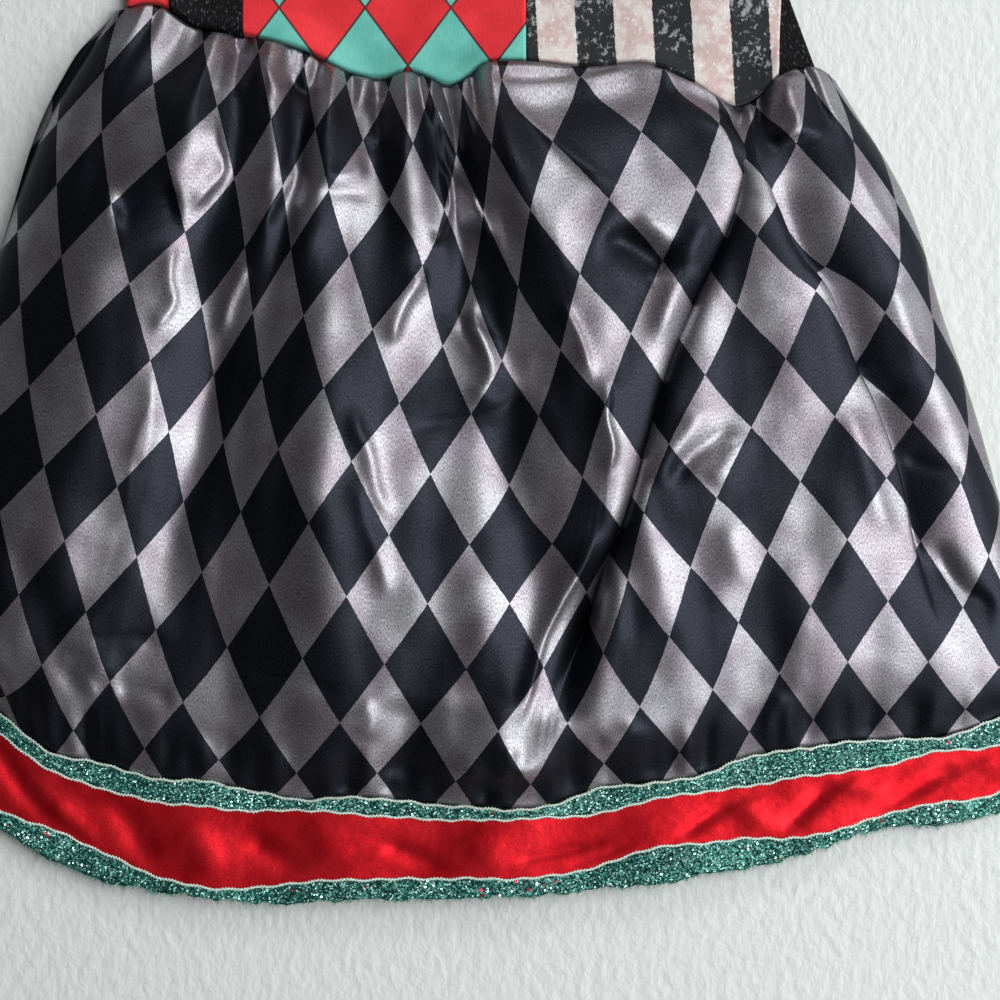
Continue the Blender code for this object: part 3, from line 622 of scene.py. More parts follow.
# %% A grid of points on the print
ROW_CROWDING = 0.28
FOCUS_GAIN, FOCUS_COLUMNS = 3.0, 0.5
LEFT_CRESTS = (  # down the left roll
    (-9.1, -8), (-9.1, -6.9), (-8.7, -6.4), (-8.4, -6.1), (-8.7, -5.7), (-9.2, -5.1), (-8.9, -4),
    (-9.2, -3.4), (-8.7, -2.4), (-8.6, -1.3),
)
MIDDLE_CRESTS = (  # the same down the middle roll
    (0.1, -8.2), (0.5, -7.4), (-0.1, -6.9), (0.3, -6.5), (0.3, -6.1), (-0.1, -5.7), (-0.9, -5.2),
    (-1.3, -4.4), (-1.4, -3.8), (-2, -2.9), (-1.6, -2.2), (-1.1, -1.2), (-1, 0),
)
RIGHT_CRESTS = (  # and down the right roll, beside the long fold
    (4.2, -5.2), (4.7, -3.9), (5.1, -3.0), (5.1, -2.3), (4.3, -1.2), (3.6, -0.2), (2.9, 0.6),
    (2.6, 1.6), (2.5, 2.2),
)
FOCUS = (LONG_FOLD, FLAP, LEFT_CRESTS, MIDDLE_CRESTS, RIGHT_CRESTS)


def skirt_grid(across, down, focus=()):
    """Columns and rows of the print for a grid of points, denser along the lines in `focus`."""
    t = np.linspace(0, 1, down)
    rows = WAIST + (HEM - WAIST) * ((1 - ROW_CROWDING) * t + ROW_CROWDING * t * t)
    even = np.linspace(LEFT_SEAM, RIGHT_SEAM, 1200)
    columns = []
    for row in rows:
        density = np.ones(even.size)
        for line in focus:
            at = np.interp(row, [r for _, r in line], [c for c, _ in line])
            density += FOCUS_GAIN * hump(even - at, FOCUS_COLUMNS)
        filled = np.r_[0, np.cumsum((density[1:] + density[:-1]) / 2)]
        columns.append(np.interp(np.linspace(0, 1, across), filled / filled[-1], even))
    return np.array(columns), np.repeat(rows[:, None], across, 1)


column, row = skirt_grid(across=300, down=158, focus=FOCUS)
steps = np.diff(column, axis=1) * COLUMN
print(f"columns of points are {steps.min():.2f} to {steps.max():.2f} mm of cloth apart")

# %% [markdown]
# The face is the sum of all that came before. It starts from a soft puff with round sides, and the
# folds come in from each seam, because a seam holds the cloth flat.

# %% Skirt front, outer face
PUFF = (  # how high the skirt stands over its hem along the middle: (row, height)
    (WAIST, 4), (-8, 7), (-7.6, 12), (-7, 18), (-6, 22), (-4, 23), (-2, 22.5), (0, 20),
    (1.5, 16), (2.5, 10), (3.1, 4), (HEM, 0),
)
SIDE_ROUNDNESS = 6
FREE_AT_WAIST, FREE_AT_HEM = 0.18, 0.8  # rows over which the folds come in from each seam
LOOSE_AT_WAIST = 0.8  # share of a pleat's height that it has at the waist seam itself
HEM_LIFT_ROWS = 2.0
PUCKER_START, PUCKER_ROWS, PUCKER_END = 2.3, 0.7, 0.2  # first row; rows to grow in and to end in
ROLL_OVER, ROLL_ROW, ROLL_ROWS = 3.5, -7.95, 0.16  # mm it rolls up, the row that does, half width
ROLLS = ((5.0, 1.5), (7.5, 1.5), (10.0, 1.2), (13.2, 1.0))  # column, half width


def roll_over(column, row):
    """Where the front is full at the waist, it rolls up over its own seam."""
    full = sum(hump(column - at, half) for at, half in ROLLS)
    return ROLL_OVER * full * hump(row - ROLL_ROW, ROLL_ROWS)


def skirt_front_points(column, row):
    x, y = grain(column, row)
    left, right = x[:, :1], x[:, -1:]
    across = 2 * (x - left) / (right - left) - 1
    rounded = np.sqrt(np.clip(1 - np.abs(across) ** SIDE_ROUNDNESS, 0, 1))
    puff = smooth_line(row, *zip(*PUFF))
    height = (hem_height(x) * soft_step((row - WAIST) / HEM_LIFT_ROWS) + puff) * rounded
    off_waist = soft_step((row - WAIST) / FREE_AT_WAIST)
    off_hem = soft_step((HEM - row) / FREE_AT_HEM)
    free = off_waist * off_hem * rounded**2
    lifted = (LOOSE_AT_WAIST + (1 - LOOSE_AT_WAIST) * off_waist) * off_hem * rounded**2
    relief = main_relief(column, row) + fine_relief(column, row)
    relief += swell(column, row, SWELLS) + swell(column, row, PLEATS)
    relief += uneven_relief(column, row)
    over_x, over_z = overlap_shift(column, row)
    dx, dy = drift(column, row)
    x = x + free * (tuck_shift(column, row) + over_x + dx)
    y = y + free * dy + roll_over(column, row)
    pucker, size, seed = PUCKERS
    puckers = crumple(column, row, size, seed) * soft_step((row - PUCKER_START) / PUCKER_ROWS)
    sewn = soft_step((HEM - row) / PUCKER_END) * rounded**2
    height = np.maximum(height + lifted * (relief + over_z) + pucker * sewn * puckers, 0)
    return np.stack([x, y, ON_BACK + height], -1)


skirt_front_face = skirt_front_points(column, row)
print(f"skirt front: {column.size} points, up to {skirt_front_face[..., 2].max():.1f} mm high")

# %% [markdown]
# ## From points to cloth
# A grid of points becomes a mesh with a UV map called `cut`, which runs from 0 to 1 over the piece
# as it was cut. Solidify then gives it the thickness of cloth, so that its edges don't look like
# paper cut from nothing.


# %% A shell from a grid
def in_scene(name, data):
    """An object that holds this mesh, light or camera."""
    made = bpy.data.objects.new(name, data)
    bpy.context.scene.collection.objects.link(made)
    return made


def open_cloth(name, points, faces_down=False, cut=None):
    """A grid of points in millimetres as one open surface."""
    down, across = points.shape[:2]
    mesh = bpy.data.meshes.new(name)
    index = np.arange(down * across).reshape(down, across)
    corners = [index[:-1, :-1], index[1:, :-1], index[1:, 1:], index[:-1, 1:]]
    quads = np.stack(corners[::-1] if faces_down else corners, -1).reshape(-1, 4)
    mesh.from_pydata((points.reshape(-1, 3) * MM).tolist(), [], quads.tolist())
    if cut is None:
        cut = np.stack(np.meshgrid(np.linspace(0, 1, across), np.linspace(1, 0, down)), -1)
    uv = mesh.uv_layers.new(name="cut")
    uv.data.foreach_set("uv", cut.reshape(-1, 2)[quads.ravel()].ravel())
    mesh.shade_smooth()
    return in_scene(name, mesh)


def thickened(piece, wall):
    """Gives an open surface the thickness of cloth, on its inner side."""
    thick = piece.modifiers.new("Thickness", "SOLIDIFY")
    thick.thickness = wall * MM
    thick.offset = -1
    return made_real(piece)


def shell(name, points, wall=SHELL, faces_down=False, cut=None):
    return thickened(open_cloth(name, points, faces_down, cut), wall)


def made_real(piece):
    """Turns a piece and its modifiers into one plain mesh."""
    graph = bpy.context.evaluated_depsgraph_get()
    mesh = bpy.data.meshes.new_from_object(piece.evaluated_get(graph), depsgraph=graph)
    old = piece.data
    piece.modifiers.clear()
    piece.data = mesh
    if old.users == 0:
        bpy.data.meshes.remove(old)
    mesh.name = piece.name
    return piece


def skirt_cut(column, row):
    """Where each point was on the piece as it was cut, from 0 to 1 both ways."""
    from_left = (column - LEFT_SEAM) / (RIGHT_SEAM - LEFT_SEAM)
    return np.stack([from_left, (HEM - row) / (HEM - WAIST)], -1)


skirt_front = shell("skirt_front_cloth", skirt_front_face, cut=skirt_cut(column, row))
print("skirt front:", len(skirt_front.data.polygons), "faces")

# %% [markdown]
# ## The skirt's back
# The back has the same cut and the same grain. It lies flat on the table under the front, so it has
# no folds of its own. On the upper left it shows as a thin dark strip beyond the front.

# %% Skirt back
BACK_PEEK, PEEK_OUT, PEEK_IN, PEEK_WIDTH = 5.0, 0.08, 0.45, 0.2  # mm, then shares down and across


def skirt_back_points(column, row):
    x, y = grain(column, row)
    share = (row - WAIST) / (HEM - WAIST)
    peek = BACK_PEEK * soft_step(share / PEEK_OUT) * (1 - soft_step(share / PEEK_IN))
    from_left = (column - LEFT_SEAM) / (RIGHT_SEAM - LEFT_SEAM)
    x = x - peek * (1 - soft_step(from_left / PEEK_WIDTH))
    return np.stack([x, y, np.zeros_like(x)], -1)


column, row = skirt_grid(across=160, down=80)
skirt_back = shell(
    "skirt_back_cloth", skirt_back_points(column, row), faces_down=True, cut=skirt_cut(column, row),
)
print("skirt back:", len(skirt_back.data.polygons), "faces")

# %% [markdown]
# ## The border
# Three strips are sewn below the skirt on each side: glitter ribbon, red satin and glitter ribbon
# again. The red band carries soft crosswise wrinkles, and the last ribbon ends in a raw, uneven
# edge.

# %% Border strips
STRIPS = {  # rows of points down the front and down the back, finish, depth of the cut in mm
    "glitter_upper": (9, 4, "glitter_ribbon", 10),
    "band": (34, 8, "red_satin", 28),
    "glitter_lower": (12, 5, "glitter_ribbon", 10),
}
BORDER_FLARE, BORDER_DEPTH, RAW_EDGE_DROP = 0.0015, 45.0, 0.2
BORDER_SHELL = 0.6
RAW_EDGE_WAVES = ((6.0, 1.6), (2.2, 0.8))  # how far apart its lumps are, and how far they stand
RAW_EDGE_GROWTH = 4  # a power of the share of the way down, so only the last rows are uneven
BAND_DEPTH = 30.0
BAND_FOLDS = (  # x and share of the way down where each starts and ends, rise, half width
    (-232, 0.2, -205, 0.9, -1.2, 5),
    (-190, 0.05, -168, 0.95, -1.6, 6),
    (-168, 0.5, -150, 1.0, 1.4, 7),
    (-140, 0.0, -126, 1.0, -1.5, 7),
    (-112, 0.1, -100, 0.9, 1.4, 8),
    (-88, 0.3, -64, 0.95, -1.3, 5),
    (-60, 0.0, -52, 0.8, 1.1, 8),
    (-34, 0.4, -8, 0.9, -1.4, 5),
    (4, 0.1, 10, 0.9, 1.0, 9),
    (18, 0.7, 52, 0.55, -0.9, 3),
    (40, 0.85, 66, 0.8, -0.9, 2.5),
    (84, 0.9, 108, 0.2, -1.5, 4),
    (112, 0.2, 120, 0.9, 1.2, 7),
    (126, 0.95, 150, 0.05, -2.0, 4.5),
    (152, 0.1, 170, 0.6, 1.4, 6),
    (168, 0.9, 200, 0.3, -1.3, 5),
    (206, 0.1, 226, 0.9, 1.2, 6),
)
BAND_FADE, BAND_HELD = 0.25, 0.35  # share of a wrinkle that fades, and what stays of it at its ends
BAND_SEWN = 0.06  # share of the band beside each seam where the wrinkles are at their lowest
RIBBON_WAVE, RIBBON_BENDS = 0.5, (9.0, 23.0)  # height, and the lengths of its two waves


def raw_edge(x):
    """How far the raw edge strays from its line."""
    strayed = np.zeros(len(x))
    for long, high in RAW_EDGE_WAVES:
        strayed += high * np.array([noise.noise((v / long, 0.3, 2.7)) for v in x])
    return strayed


def border_points(columns, part, rows, front):
    """Points of one strip, row by row from its upper edge. Columns are those of the print."""
    hem_x = smooth_line(columns, GRAIN_COLUMNS, GRAIN_X[-1][1])
    strayed = raw_edge(hem_x) if part == len(STRIPS) - 1 else 0
    first, last = border_line(hem_x, part), border_line(hem_x, part + 1)
    grid = []
    for share in np.linspace(0, 1, rows):
        down = border_line(hem_x, 0) - first - (last - first) * share
        x = hem_x * (1 + BORDER_FLARE * down)
        gap = SEAM_GAP / 2 * (1 - 2 * share)
        upper, lower = border_line(x, part), border_line(x, part + 1)
        y = upper + (lower - upper) * share - gap + strayed * share**RAW_EDGE_GROWTH
        z = ON_BACK + hem_height(x) * (1 - RAW_EDGE_DROP * down / BORDER_DEPTH)
        grid.append(np.stack([x, y, z if front else 0 * x], -1))
    return np.array(grid)


def band_relief(points):
    """Soft wrinkles that run across the red band."""
    share = np.linspace(0, 1, points.shape[0])[:, None] * np.ones(points.shape[1])
    place = np.stack([points[..., 0], share * BAND_DEPTH], -1)
    relief = np.zeros(share.shape)
    for x0, s0, x1, s1, rise, half in BAND_FOLDS:
        away, along_it = nearest_on(place, ((x0, s0 * BAND_DEPTH), (x1, s1 * BAND_DEPTH)), samples=3)
        held = BAND_HELD + (1 - BAND_HELD) * faded(along_it, BAND_FADE, BAND_FADE)
        relief += rise * hump(away, half) * held
    return relief * np.sin(np.pi * np.clip(share, BAND_SEWN, 1 - BAND_SEWN))


def border_piece(name, part, rows, front):
    columns = np.linspace(LEFT_SEAM, RIGHT_SEAM, 420 if front else 160)
    points = border_points(columns, part, rows, front)
    if front and name == "band":
        points[..., 2] += band_relief(points)
    elif front:
        first, second = (np.sin(points[..., 0] / bend) for bend in RIBBON_BENDS)
        points[..., 2] += RIBBON_WAVE * first * second
    side = "front" if front else "back"
    return shell(f"hem_{name}_{side}_cloth", points, wall=BORDER_SHELL, faces_down=not front)


border = {}
for part, (name, (front_rows, back_rows, *_)) in enumerate(STRIPS.items()):
    border[name, "front"] = border_piece(name, part, front_rows, True)
    border[name, "back"] = border_piece(name, part, back_rows, False)
print("border strips:", len(border))

# %% [markdown]
# ## The bodice
# Each half of the front is one piece of stretch cloth, from the waist seam to the shoulder, and
# meets the other along the centre seam. Its grid runs between the side's outline and the seam, and
# above the neckline's lowest point it runs to a quarter of the round neckline.

# %% Bodice outlines
LEFT_OUTLINE = (  # share of the way up, x, y
    (0, -136, 62), (0.35, -135, 146), (0.45, -126, 166), (0.56, -106, 190), (0.75, -96, 232),
    (1, -92, 285),
)
RIGHT_OUTLINE = (
    (0, 126, 35), (0.35, 128, 146), (0.45, 124, 166), (0.56, 113, 190), (0.75, 109, 232),
    (1, 116, 285),
)
WAIST_DROOP = 0.25
CROWDING = 1.4  # over 1, the rows of points crowd together towards the waist
CENTRE_SEAM = ((0, 24.5), (0.35, 24), (1, 12))  # share of the way up to the neckline, x
NECK_CENTRE, NECK_TOP, NECK_HALF_WIDTH = 12.0, 297.0, 58.0
FRONT_NECK_DEPTH, BACK_NECK_DEPTH, NECK_SHARE = 59.0, 22.0, 0.74
FRONT_SEAM_FOOT = 41.0
LEFT_STRAP = ((-104, 56), (-104, 120), (-92, 200), (-70, 289))
RIGHT_STRAP = ((127.5, 37), (115, 66), (98, 110), (89, 170), (88, 230), (94, 289))
STRAP_END, STRAP_OVER = 0.12, 1.0  # share that follows the waist, and millimetres over it
STRAP_LIFT_MARGIN, STRAP_LIFT_REACH = 8.0, 18.0


def strap_cover(places):
    """How far the bodice front is lifted where the right strap lies beneath it."""
    away, _ = nearest_on(places, RIGHT_STRAP)
    beside = (np.abs(away) - STRAP_WIDTH / 2 - STRAP_LIFT_MARGIN) / STRAP_LIFT_REACH
    return (ELASTIC_WALL + SEAM_GAP) * (1 - soft_step(beside))


def bodice_top(places):
    """Upper face of the bodice front, without its own wrinkles."""
    return JERSEY_WALL + SEAM_GAP + JERSEY_WALL + strap_cover(places)


def middle_edge(share, depth, side):
    """Up the centre seam, then round a quarter of the neckline to one side."""
    lowest = NECK_TOP - depth
    up = np.clip(share / NECK_SHARE, 0, 1)
    seam_y = FRONT_SEAM_FOOT + (lowest - FRONT_SEAM_FOOT) * up
    seam = np.stack([smooth_line(up, *zip(*CENTRE_SEAM)), seam_y], -1)
    angle = np.pi / 2 * np.clip((share - NECK_SHARE) / (1 - NECK_SHARE), 0, 1)
    round_neck = np.stack([
        NECK_CENTRE + side * NECK_HALF_WIDTH * np.sin(angle), NECK_TOP - depth * np.cos(angle),
    ], -1)
    return np.where(share[:, None] > NECK_SHARE, round_neck, seam)


def bodice_half(side, neck_depth, across, down):
    """x and y from the shoulder down to the waist, columns from left to right. Side is -1 or 1."""
    neck_rows = down // 4
    below_neck = NECK_SHARE * np.linspace(1, 0, down - neck_rows)[1:] ** CROWDING
    share = np.r_[np.linspace(1, NECK_SHARE, neck_rows), below_neck]
    outline = np.array(LEFT_OUTLINE if side < 0 else RIGHT_OUTLINE, float)
    outer = smooth_line(share, outline[:, 0], outline[:, 1:])
    inner = middle_edge(share, neck_depth, side)
    t = np.linspace(0, 1, across)[None, :, None]
    grid = outer[:, None] * (1 - t) + inner[:, None] * t
    droop = waist_y(grid[-1, :, 0]) - grid[-1, :, 1]
    grid[..., 1] += droop * (1 - np.clip(share[:, None] / WAIST_DROOP, 0, 1)) ** 2
    return grid if side < 0 else grid[:, ::-1]


print(f"each half of the bodice front meets the other up to y {NECK_TOP - FRONT_NECK_DEPTH:.0f} mm")

# %% [markdown]
# The stretch cloth is thin and soft. It rolls over a little at the waist seam, and it carries
# shallow wrinkles that the gathered skirt pulls into it.

# %% Bodice pieces
WAIST_ROLL, ROLL_HEIGHT, ROLL_FULLNESS = 7.0, 1.3, 0.8  # the lower edge rolls over to its seam
EDGE_LIFT, EDGE_REACH, EDGE_TURN = 3.4, 11.0, 1.5  # how the gathers under it push that edge up
BODICE_WAVES = (  # x, y, rise, reach across and along
    (-70, 62, 1.1, 16, 22),
    (-38, 56, -0.8, 12, 18),
    (-10, 48, 0.9, 14, 16),
    (48, 58, -0.7, 10, 30),
    (72, 70, 0.9, 14, 26),
    (98, 62, 0.9, 9, 30),
    (-60, 130, 0.8, 40, 30),
    (60, 150, 0.8, 34, 40),
    (-20, 200, 0.7, 30, 34),
)

TABLE_CORNER, TABLE_SIZE = (-150.0, 0.0), 300.0  # the part of the table that its UV map covers


def bodice_relief(grid):
    """Shallow wrinkles, and the roll at the waist seam."""
    x, y = grid[..., 0], grid[..., 1]
    relief = np.zeros(x.shape)
    for at_x, at_y, rise, wide, tall in BODICE_WAVES:
        relief += rise * np.exp(-(((x - at_x) / wide) ** 2) - ((y - at_y) / tall) ** 2)
    above = y - waist_y(x)
    turned = np.sin(np.pi * np.clip(above / (2 * WAIST_ROLL), 0, 1))
    roll = ROLL_HEIGHT * turned**ROLL_FULLNESS
    lift = EDGE_LIFT * (1 - soft_step(above / EDGE_REACH))
    return np.maximum(relief + roll + lift, 0) * soft_step(above / EDGE_TURN)


def cut_places(grid):
    """The bodice's print follows the cloth, which lies flat: UV is the place on the table."""
    return (grid - np.array(TABLE_CORNER)) / TABLE_SIZE


def bodice_piece(name, side):
    grid = bodice_half(side, FRONT_NECK_DEPTH, across=110, down=130)
    if side > 0:
        grid[..., 0] += SEAM_GAP * np.linspace(1, 0, grid.shape[1])
    z = bodice_top(grid) + bodice_relief(grid)
    points = np.concatenate([grid, z[..., None]], -1)
    return shell(name, points, cut=cut_places(grid))


bodice_left = bodice_piece("bodice_harlequin_cloth", -1)
bodice_right = bodice_piece("bodice_striped_cloth", 1)

print("bodice fronts:", len(bodice_left.data.polygons) + len(bodice_right.data.polygons), "faces")

# %% [markdown]
# The back is one piece of cloth, so its two grids become one mesh, with their shared points merged,
# before it gets its thickness.

# %% Bodice back
MERGE_MM, BODICE_BACK_SHELL = 0.05, 1.0


def bodice_back_piece(name):
    parts = []
    for side in (-1, 1):
        grid = bodice_half(side, BACK_NECK_DEPTH, across=40, down=60)
        flat = np.concatenate([grid, np.zeros(grid.shape[:2])[..., None]], -1)
        parts.append(open_cloth(f"back_{side}", flat, True, cut_places(grid)))
    merged = bmesh.new()
    for part in parts:
        merged.from_mesh(part.data)
        bpy.data.objects.remove(part)
    bmesh.ops.remove_doubles(merged, verts=merged.verts, dist=MERGE_MM * MM)
    mesh = bpy.data.meshes.new(name)
    merged.to_mesh(mesh)
    merged.free()
    mesh.shade_smooth()
    return thickened(in_scene(name, mesh), BODICE_BACK_SHELL)


bodice_back = bodice_back_piece("bodice_back_cloth")
print("bodice back:", len(bodice_back.data.polygons), "faces")

# %% [markdown]
# ## The straps
# Wide ribbed elastic runs from the waist seam to each shoulder: on the left over the bodice, and
# on the right under it. Each follows its own line, at a steady width.

# %% Straps
STRAP_SHELL = 1.1
STRAP_FOLLOWS = 0.9  # share of the bodice's wrinkles that the left strap follows


def strap_points(path, under, across=40, down=160):
    share = np.linspace(1, 0, down)
    middle = along(path, share)
    ahead = np.gradient(middle, axis=0)
    ahead /= np.linalg.norm(ahead, axis=1)[:, None]
    side = np.stack([-ahead[:, 1], ahead[:, 0]], -1)
    t = np.linspace(-0.5, 0.5, across)[None, :, None] * STRAP_WIDTH
    grid = middle[:, None] + side[:, None] * t
    droop = waist_y(grid[-1, :, 0]) - STRAP_OVER - grid[-1, :, 1]
    grid[..., 1] += droop * (1 - np.clip(share[:, None] / STRAP_END, 0, 1))
    z = (JERSEY_WALL if under else bodice_top(grid)) + SEAM_GAP + ELASTIC_WALL
    z = z + np.zeros(grid.shape[:2]) + (0 if under else bodice_relief(grid) * STRAP_FOLLOWS)
    return np.concatenate([grid, z[..., None]], -1)


strap_left = shell("strap_left_elastic", strap_points(LEFT_STRAP, under=False), wall=STRAP_SHELL)
strap_right = shell("strap_right_elastic", strap_points(RIGHT_STRAP, under=True), wall=STRAP_SHELL)
print("straps:", len(strap_left.data.polygons) + len(strap_right.data.polygons), "faces")

# %% [markdown]
# ## Colours and nodes
# Colours are read off cloth as sRGB, the way a screen shows them, and a shader wants them linear.
# One function turns them. Another adds a node, sets its sockets and links it, for shaders and for
# Geometry Nodes alike. A few more draw what most of these finishes share: places in millimetres,
# soft noise, clouds of two tones and a grain. Each material ends in one Principled shader.


# %% Helpers for materials
def colour(hex_code, alpha=1.0):
    """A linear colour from an sRGB hex value such as "c81f2c"."""
    parts = [int(hex_code[i : i + 2], 16) / 255 for i in (0, 2, 4)]
    linear = [v / 12.92 if v <= 0.04045 else ((v + 0.055) / 1.055) ** 2.4 for v in parts]
    return (*linear, alpha)


def add(tree, kind, sockets=None, stops=(), **settings):
    """Adds a node. A socket takes a number, a colour, another node or one of its outputs. Stops are
    the places and the colours of a colour ramp."""
    made = tree.nodes.new(kind)
    for name, value in settings.items():
        setattr(made, name, value)
    for socket, value in (sockets or {}).items():
        if isinstance(value, bpy.types.Node):
            value = next(output for output in value.outputs if output.enabled)
        if isinstance(value, bpy.types.NodeSocket):
            tree.links.new(value, made.inputs[socket])
        else:
            made.inputs[socket].default_value = value
    for _ in stops[2:]:
        made.color_ramp.elements.new(0.5)
    for i, (place, value) in enumerate(stops):
        made.color_ramp.elements[i].position = place
        made.color_ramp.elements[i].color = value
    return made


def new_material(name):
    """A material and its empty node tree."""
    made = bpy.data.materials.new(name)
    made.use_nodes = True
    made.node_tree.nodes.clear()
    return made, made.node_tree


def finished(made, base, relief, values):
    """Ends a material in a Principled shader. Relief is a row for each layer of bump, the broadest
    first: its pattern, its depth in millimetres and its strength."""
    tree, normal = made.node_tree, {}
    for pattern, depth, strength in relief:
        layer = {"Height": pattern, "Distance": depth * MM, "Strength": strength}
        normal = {"Normal": add(tree, "ShaderNodeBump", {**layer, **normal})}
    shader = add(tree, "ShaderNodeBsdfPrincipled", {"Base Color": base, **normal, **values})
    add(tree, "ShaderNodeOutputMaterial", {"Surface": shader})
    return made


def cut_in_mm(tree, width, length, corner=(0.0, 0.0)):
    """The piece's UV map as millimetres of cloth."""
    uv = add(tree, "ShaderNodeUVMap", uv_map="cut")
    return add(tree, "ShaderNodeMapping", {
        0: uv, "Scale": (width, length, 1), "Location": (*corner, 0),
    })


def object_in_mm(tree):
    """The object's own coordinates as millimetres."""
    place = add(tree, "ShaderNodeTexCoord").outputs["Object"]
    return add(tree, "ShaderNodeMapping", {0: place, "Scale": (1000, 1000, 1000)})


def noise_at(tree, place, size_mm, detail=2.0, stretch=(1, 1, 1), rough=0.5):
    """Noise with swells about size_mm apart, on a place in millimetres."""
    scaled = add(tree, "ShaderNodeMapping", {0: place, "Scale": stretch})
    return add(tree, "ShaderNodeTexNoise", {
        "Vector": scaled, "Scale": 1 / size_mm, "Detail": detail, "Roughness": rough,
    })


def clouds(tree, place, size_mm, first, second, detail=2.0, rough=0.5):
    """Two tones in soft clouds. Each is its place on the noise, from 0 to 1, and its colour."""
    pattern = noise_at(tree, place, size_mm, detail, rough=rough)
    return add(tree, "ShaderNodeValToRGB", {0: pattern}, stops=(first, second))


def grained(tree, base, pattern, dark, light):
    """A colour made darker and lighter by a pattern. Dark and light are a place and a factor each."""
    greys = [(place, (factor, factor, factor, 1)) for place, factor in (dark, light)]
    factors = add(tree, "ShaderNodeValToRGB", {0: pattern}, stops=greys)
    return add(tree, "ShaderNodeMix", {
        0: 1.0, 6: base, 7: factors,
    }, data_type="RGBA", blend_type="MULTIPLY")


NO, YES = (0, 0, 0, 1), (1, 1, 1, 1)  # black and white, for masks
EIGHTH_TURN, HALF_DIAGONAL = math.radians(45), math.sqrt(2) / 2  # for squares on their corners
print("a mid grey on a screen is", round(colour("808080")[0], 3), "in a shader")

# %% [markdown]
# ## Printed satin
# Polyester satin: its long floats give a bright, soft, directional shine on a fine grain. The
# print is a plain grid of grey and black diamonds. On the print's own grid, a diamond is a square
# turned by 45 degrees, so one Mapping node turns and scales the UV map until a Checker Texture
# falls on it.

# %% Skirt material
GREY, GREY_WARM, BLACK = colour("a3a3a8"), colour("8f8890"), colour("292b33")
FLOAT_MM = 0.5  # real satin floats are nearer 0.3 mm; coarser here, so that the grain shows
PRINT_WOBBLE = 0.015  # of half a diamond: how unsteady the printed edges are


def printed_satin():
    made, tree = new_material("Printed polyester satin")
    place = cut_in_mm(tree, CUT_WIDTH, CUT_LENGTH)
    squares = add(tree, "ShaderNodeMapping", {
        0: add(tree, "ShaderNodeUVMap", uv_map="cut"),
        "Scale": ((RIGHT_SEAM - LEFT_SEAM) * HALF_DIAGONAL, (HEM - WAIST) * HALF_DIAGONAL, 1),
        "Rotation": (0, 0, EIGHTH_TURN),
        "Location": (
            (LEFT_SEAM + HEM - PRINT_WOBBLE) / 2, (LEFT_SEAM - HEM - PRINT_WOBBLE) / 2, 0.5,
        ),
    })
    wobbled = add(tree, "ShaderNodeVectorMath", {
        0: noise_at(tree, place, 2.5, 1.0), 1: (PRINT_WOBBLE, PRINT_WOBBLE, 0), 2: squares,
    }, operation="MULTIPLY_ADD")
    diamonds = add(tree, "ShaderNodeTexChecker", {
        "Vector": wobbled, "Scale": 1.0, 1: NO, 2: YES,
    })
    greys = clouds(tree, place, 26, (0.38, GREY_WARM), (0.62, GREY), detail=3.0)
    printed = add(tree, "ShaderNodeMix", {0: diamonds, 6: BLACK, 7: greys}, data_type="RGBA")
    grain = noise_at(tree, place, FLOAT_MM, 1.0, stretch=(1, 0.45, 1))
    creases = noise_at(tree, place, 14, stretch=(1, 0.5, 1))
    return finished(
        made, grained(tree, printed, grain, (0.25, 0.5), (0.75, 1.5)),
        [(creases, 1.2, 0.35), (grain, 0.05, 1.0)], {"Roughness": 0.45, "Metallic": 0.97},
    )


satin = printed_satin()
print(satin.name, "has", len(satin.node_tree.nodes), "nodes")

# %% [markdown]
# The red band is the same cloth without a print: plain dyed satin, whose broad shine shows every
# soft wrinkle. It could share the skirt's material with a switch, but two plain ones read better.

# %% Red satin
BAND_WIDTH = 491.0  # of cloth, which the red's clouds and grain are scaled to


def red_satin():
    made, tree = new_material("Red polyester satin")
    place = cut_in_mm(tree, BAND_WIDTH, BAND_DEPTH)
    reds = clouds(tree, place, 22, (0.35, colour("c4121f")), (0.65, colour("e8232f")))
    grain = noise_at(tree, place, FLOAT_MM, 1.0, stretch=(0.45, 1, 1))
    return finished(
        made, grained(tree, reds, grain, (0.3, 0.85), (0.7, 1.15)),
        [(noise_at(tree, place, 9, 2.5), 1.2, 0.35), (grain, 0.1, 0.6)],
        {"Roughness": 0.42, "Metallic": 0.86},
    )


red = red_satin()
print(red.name, "has", len(red.node_tree.nodes), "nodes")

# %% [markdown]
# ## Glitter ribbon
# A woven ribbon coated with glue and ground polyester glitter. Each grain is a tiny mirror with
# its own tilt, so the base is a Voronoi pattern whose cells each get a random normal, and larger
# flakes are added later as real geometry. Grains are 0.5 mm across here; real ones are finer.

# %% Glitter materials
GLITTER_GRAIN_MM = 0.5
GLITTER_TONES = (
    (0.0, colour("0f3936")), (0.35, colour("1a534e")), (0.7, colour("2e756b")),
    (0.92, colour("519b8c")), (1.0, colour("b9e6da")),
)
GLITTER_TILT = 0.4


